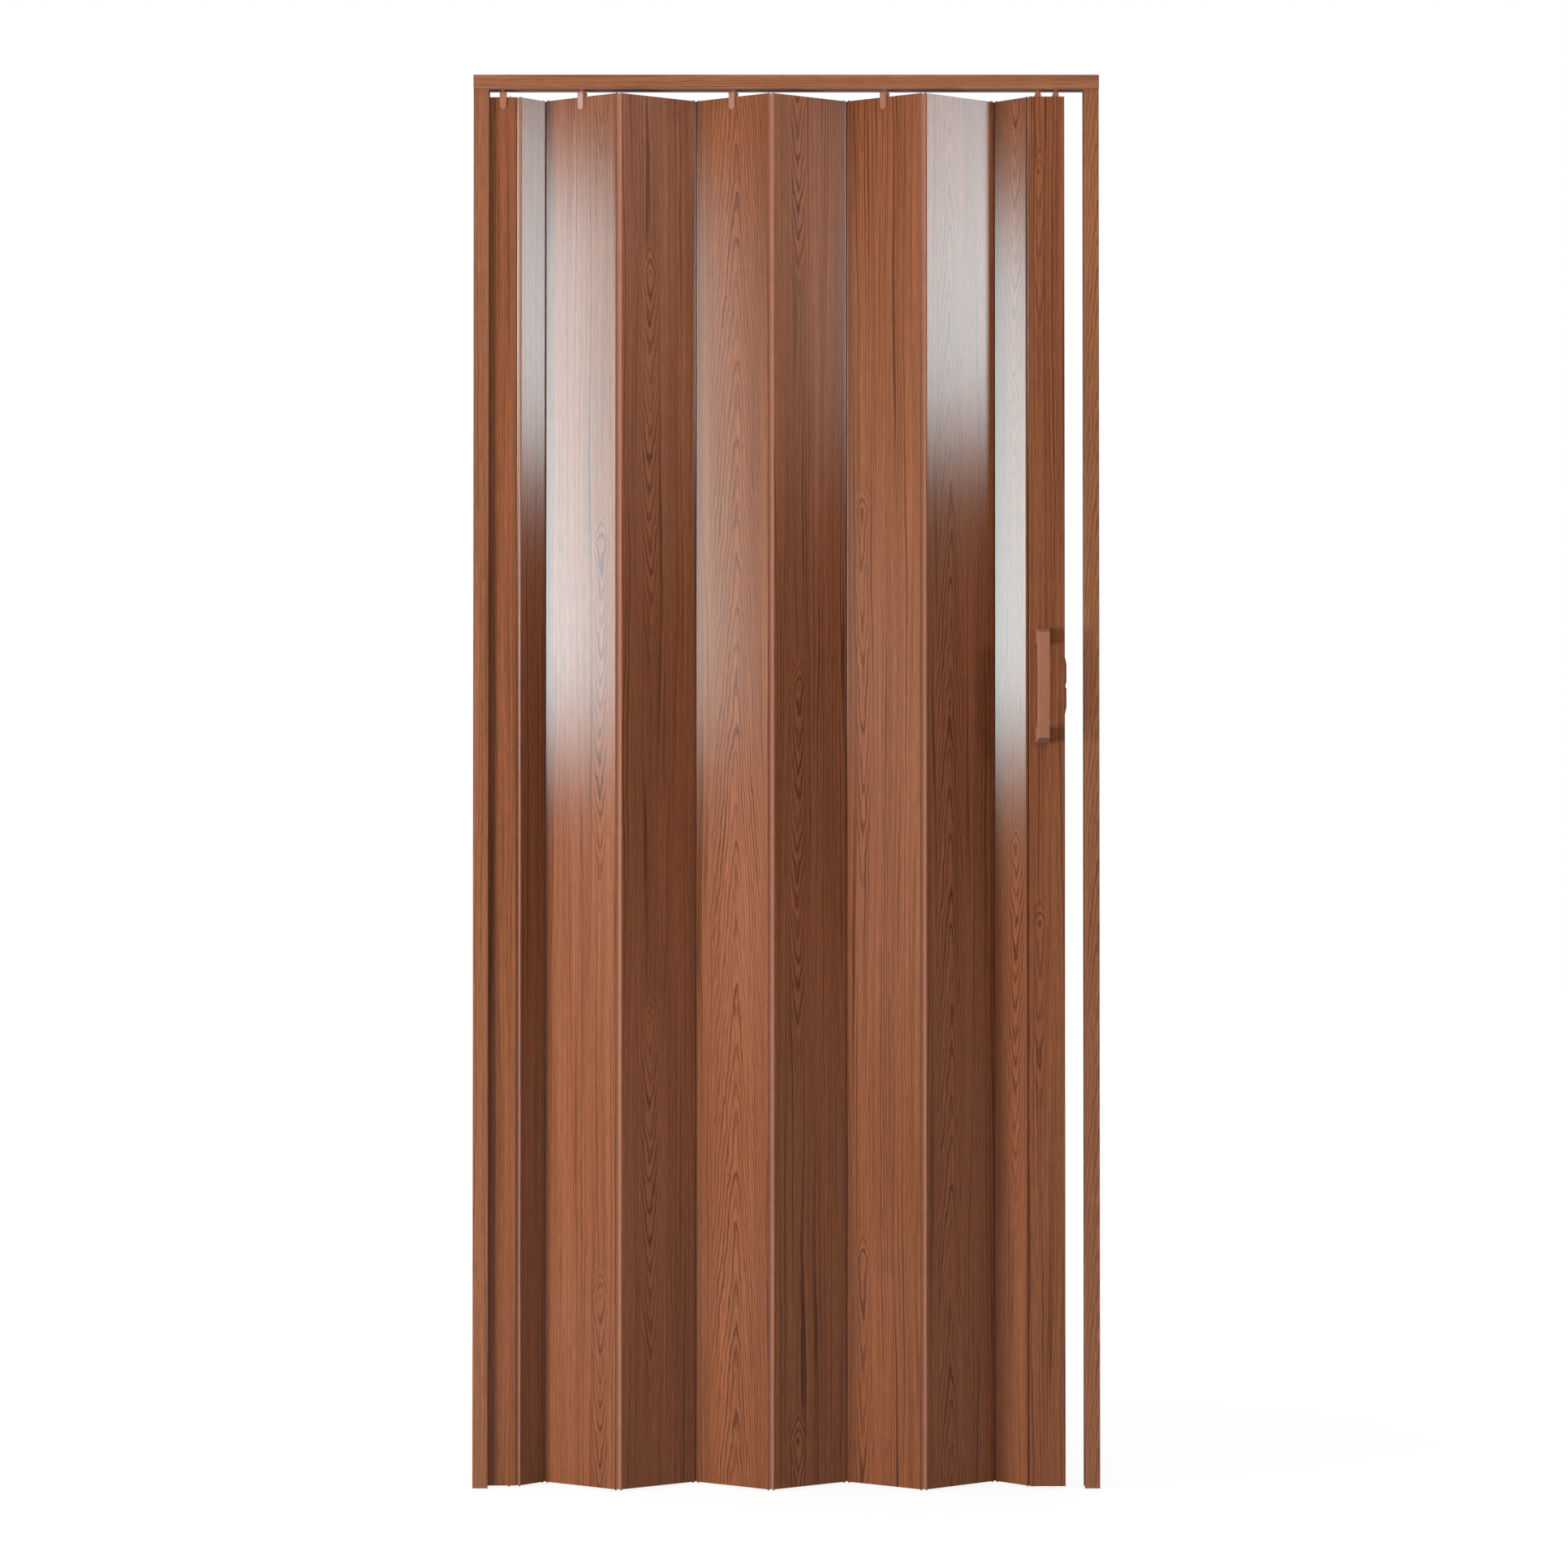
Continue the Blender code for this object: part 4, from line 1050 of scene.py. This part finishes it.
def soft_box(name, x, sides, heights, edge, power, tint, dim):
    """Soft box beside the door, seen only in the gloss.

    sides and heights are its ends along y and z, and edge is half the width of its soft rim. With
    dim (low, high, share) it fades from the low height to the high one, to that share of its power.
    """
    material = bpy.data.materials.new(f"{name}_glow")
    material.use_nodes = True
    tree = material.node_tree
    tree.nodes.remove(tree.nodes["Principled BSDF"])
    nodes = Nodes(tree)
    split = nodes.add("ShaderNodeSeparateXYZ")
    nodes.feed(split.inputs[0], nodes.add("ShaderNodeTexCoord").outputs["Object"])
    dim_low, dim_high, share = dim
    strength = nodes.span(split.outputs[2], dim_low, dim_high, power, power * share)
    for axis, (low, high) in ((1, sides), (2, heights)):
        for start, inward in ((low, edge), (high, -edge)):
            rim = nodes.span(split.outputs[axis], start - inward, start + inward, 0.0, 1.0, True)
            strength = nodes.math("MULTIPLY", strength, rim)
    glow = nodes.add("ShaderNodeEmission")
    glow.inputs["Color"].default_value = (*tint, 1.0)
    nodes.feed(glow.inputs["Strength"], strength)
    tree.links.new(glow.outputs[0], tree.nodes["Material Output"].inputs["Surface"])
    outside = rectangle(sides[0] - edge, heights[0] - edge, sides[1] + edge, heights[1] + edge)
    card = quad(name, [(x, y, z) for y, z in outside], material)
    card.visible_camera = False
    card.visible_diffuse = False
    card.visible_shadow = False
    card.visible_transmission = False


def lamp(name, place, target, size, power, spread=180.0):
    """Soft lamp that shapes the matt colour; the soft boxes alone show in the gloss."""
    light = bpy.data.lights.new(name, "AREA")
    light.shape = "DISK"
    light.size = size
    light.energy = power
    light.spread = math.radians(spread)
    holder = bpy.data.objects.new(name, light)
    bpy.context.scene.collection.objects.link(holder)
    holder.location = place
    holder.rotation_euler = (Vector(target) - Vector(place)).to_track_quat("-Z", "Y").to_euler()
    holder.visible_glossy = False


def make_world():
    """White room: plain white to the camera, brighter overhead for matt colours, dim in the gloss."""
    world = bpy.data.worlds.new("studio")
    world.use_nodes = True
    bpy.context.scene.world = world
    nodes = Nodes(world.node_tree)
    path = nodes.add("ShaderNodeLightPath").outputs
    back = world.node_tree.nodes["Background"]
    back.inputs["Color"].default_value = (*WHITE, 1.0)
    split = nodes.add("ShaderNodeSeparateXYZ")
    nodes.feed(split.inputs[0], nodes.add("ShaderNodeTexCoord").outputs["Generated"])
    matt = nodes.span(split.outputs[2], 0.0, 1.0, ROOM_LIGHT, SKY_LIGHT)
    room = nodes.span(path["Is Glossy Ray"], 0.0, 1.0, matt, ROOM_GLOSS)
    nodes.feed(back.inputs["Strength"], nodes.math("MAXIMUM", path["Is Camera Ray"], room))


def make_studio():
    make_floor()
    make_world()
    soft_box("left_box", x=-1.8, sides=(-0.735, -0.05), heights=(1.11, 2.16), edge=0.16, power=16.2,
             tint=(0.64, 0.98, 1.09), dim=(1.3, 2.0, 0.74))
    soft_box("right_box", x=1.8, sides=(-0.68, 0.10), heights=(1.68, 2.46), edge=0.14, power=11.7,
             tint=(0.79, 1.03, 1.11), dim=(2.0, 2.4, 0.64))
    lamp("key", place=(-2.6, -1.55, 1.0), target=(0.0, 0.0, 1.0), size=1.15, power=68.0)
    lamp("side", place=(2.2, -1.5, 1.75), target=(0.2, 0.0, 1.0), size=0.45, power=6.2)
    lamp("top", place=(1.5, -1.3, 2.3), target=(-0.35, 0.0, 1.95), size=0.5, power=0.60, spread=40.0)


def make_camera():
    data = bpy.data.cameras.new("camera")
    data.sensor_fit = "HORIZONTAL"
    data.sensor_width = CAMERA_SENSOR
    data.lens = CAMERA_LENS
    data.shift_y = CAMERA_SHIFT
    data.clip_end = CAMERA_FAR
    camera = bpy.data.objects.new("camera", data)
    bpy.context.scene.collection.objects.link(camera)
    camera.location = CAMERA_PLACE
    camera.rotation_euler = (math.pi / 2 + CAMERA_TILT, 0.0, 0.0)
    bpy.context.scene.camera = camera


make_pieces()
make_studio()
make_camera()
bpy.context.scene.view_settings.view_transform = "Standard"
bpy.context.view_layer.update()
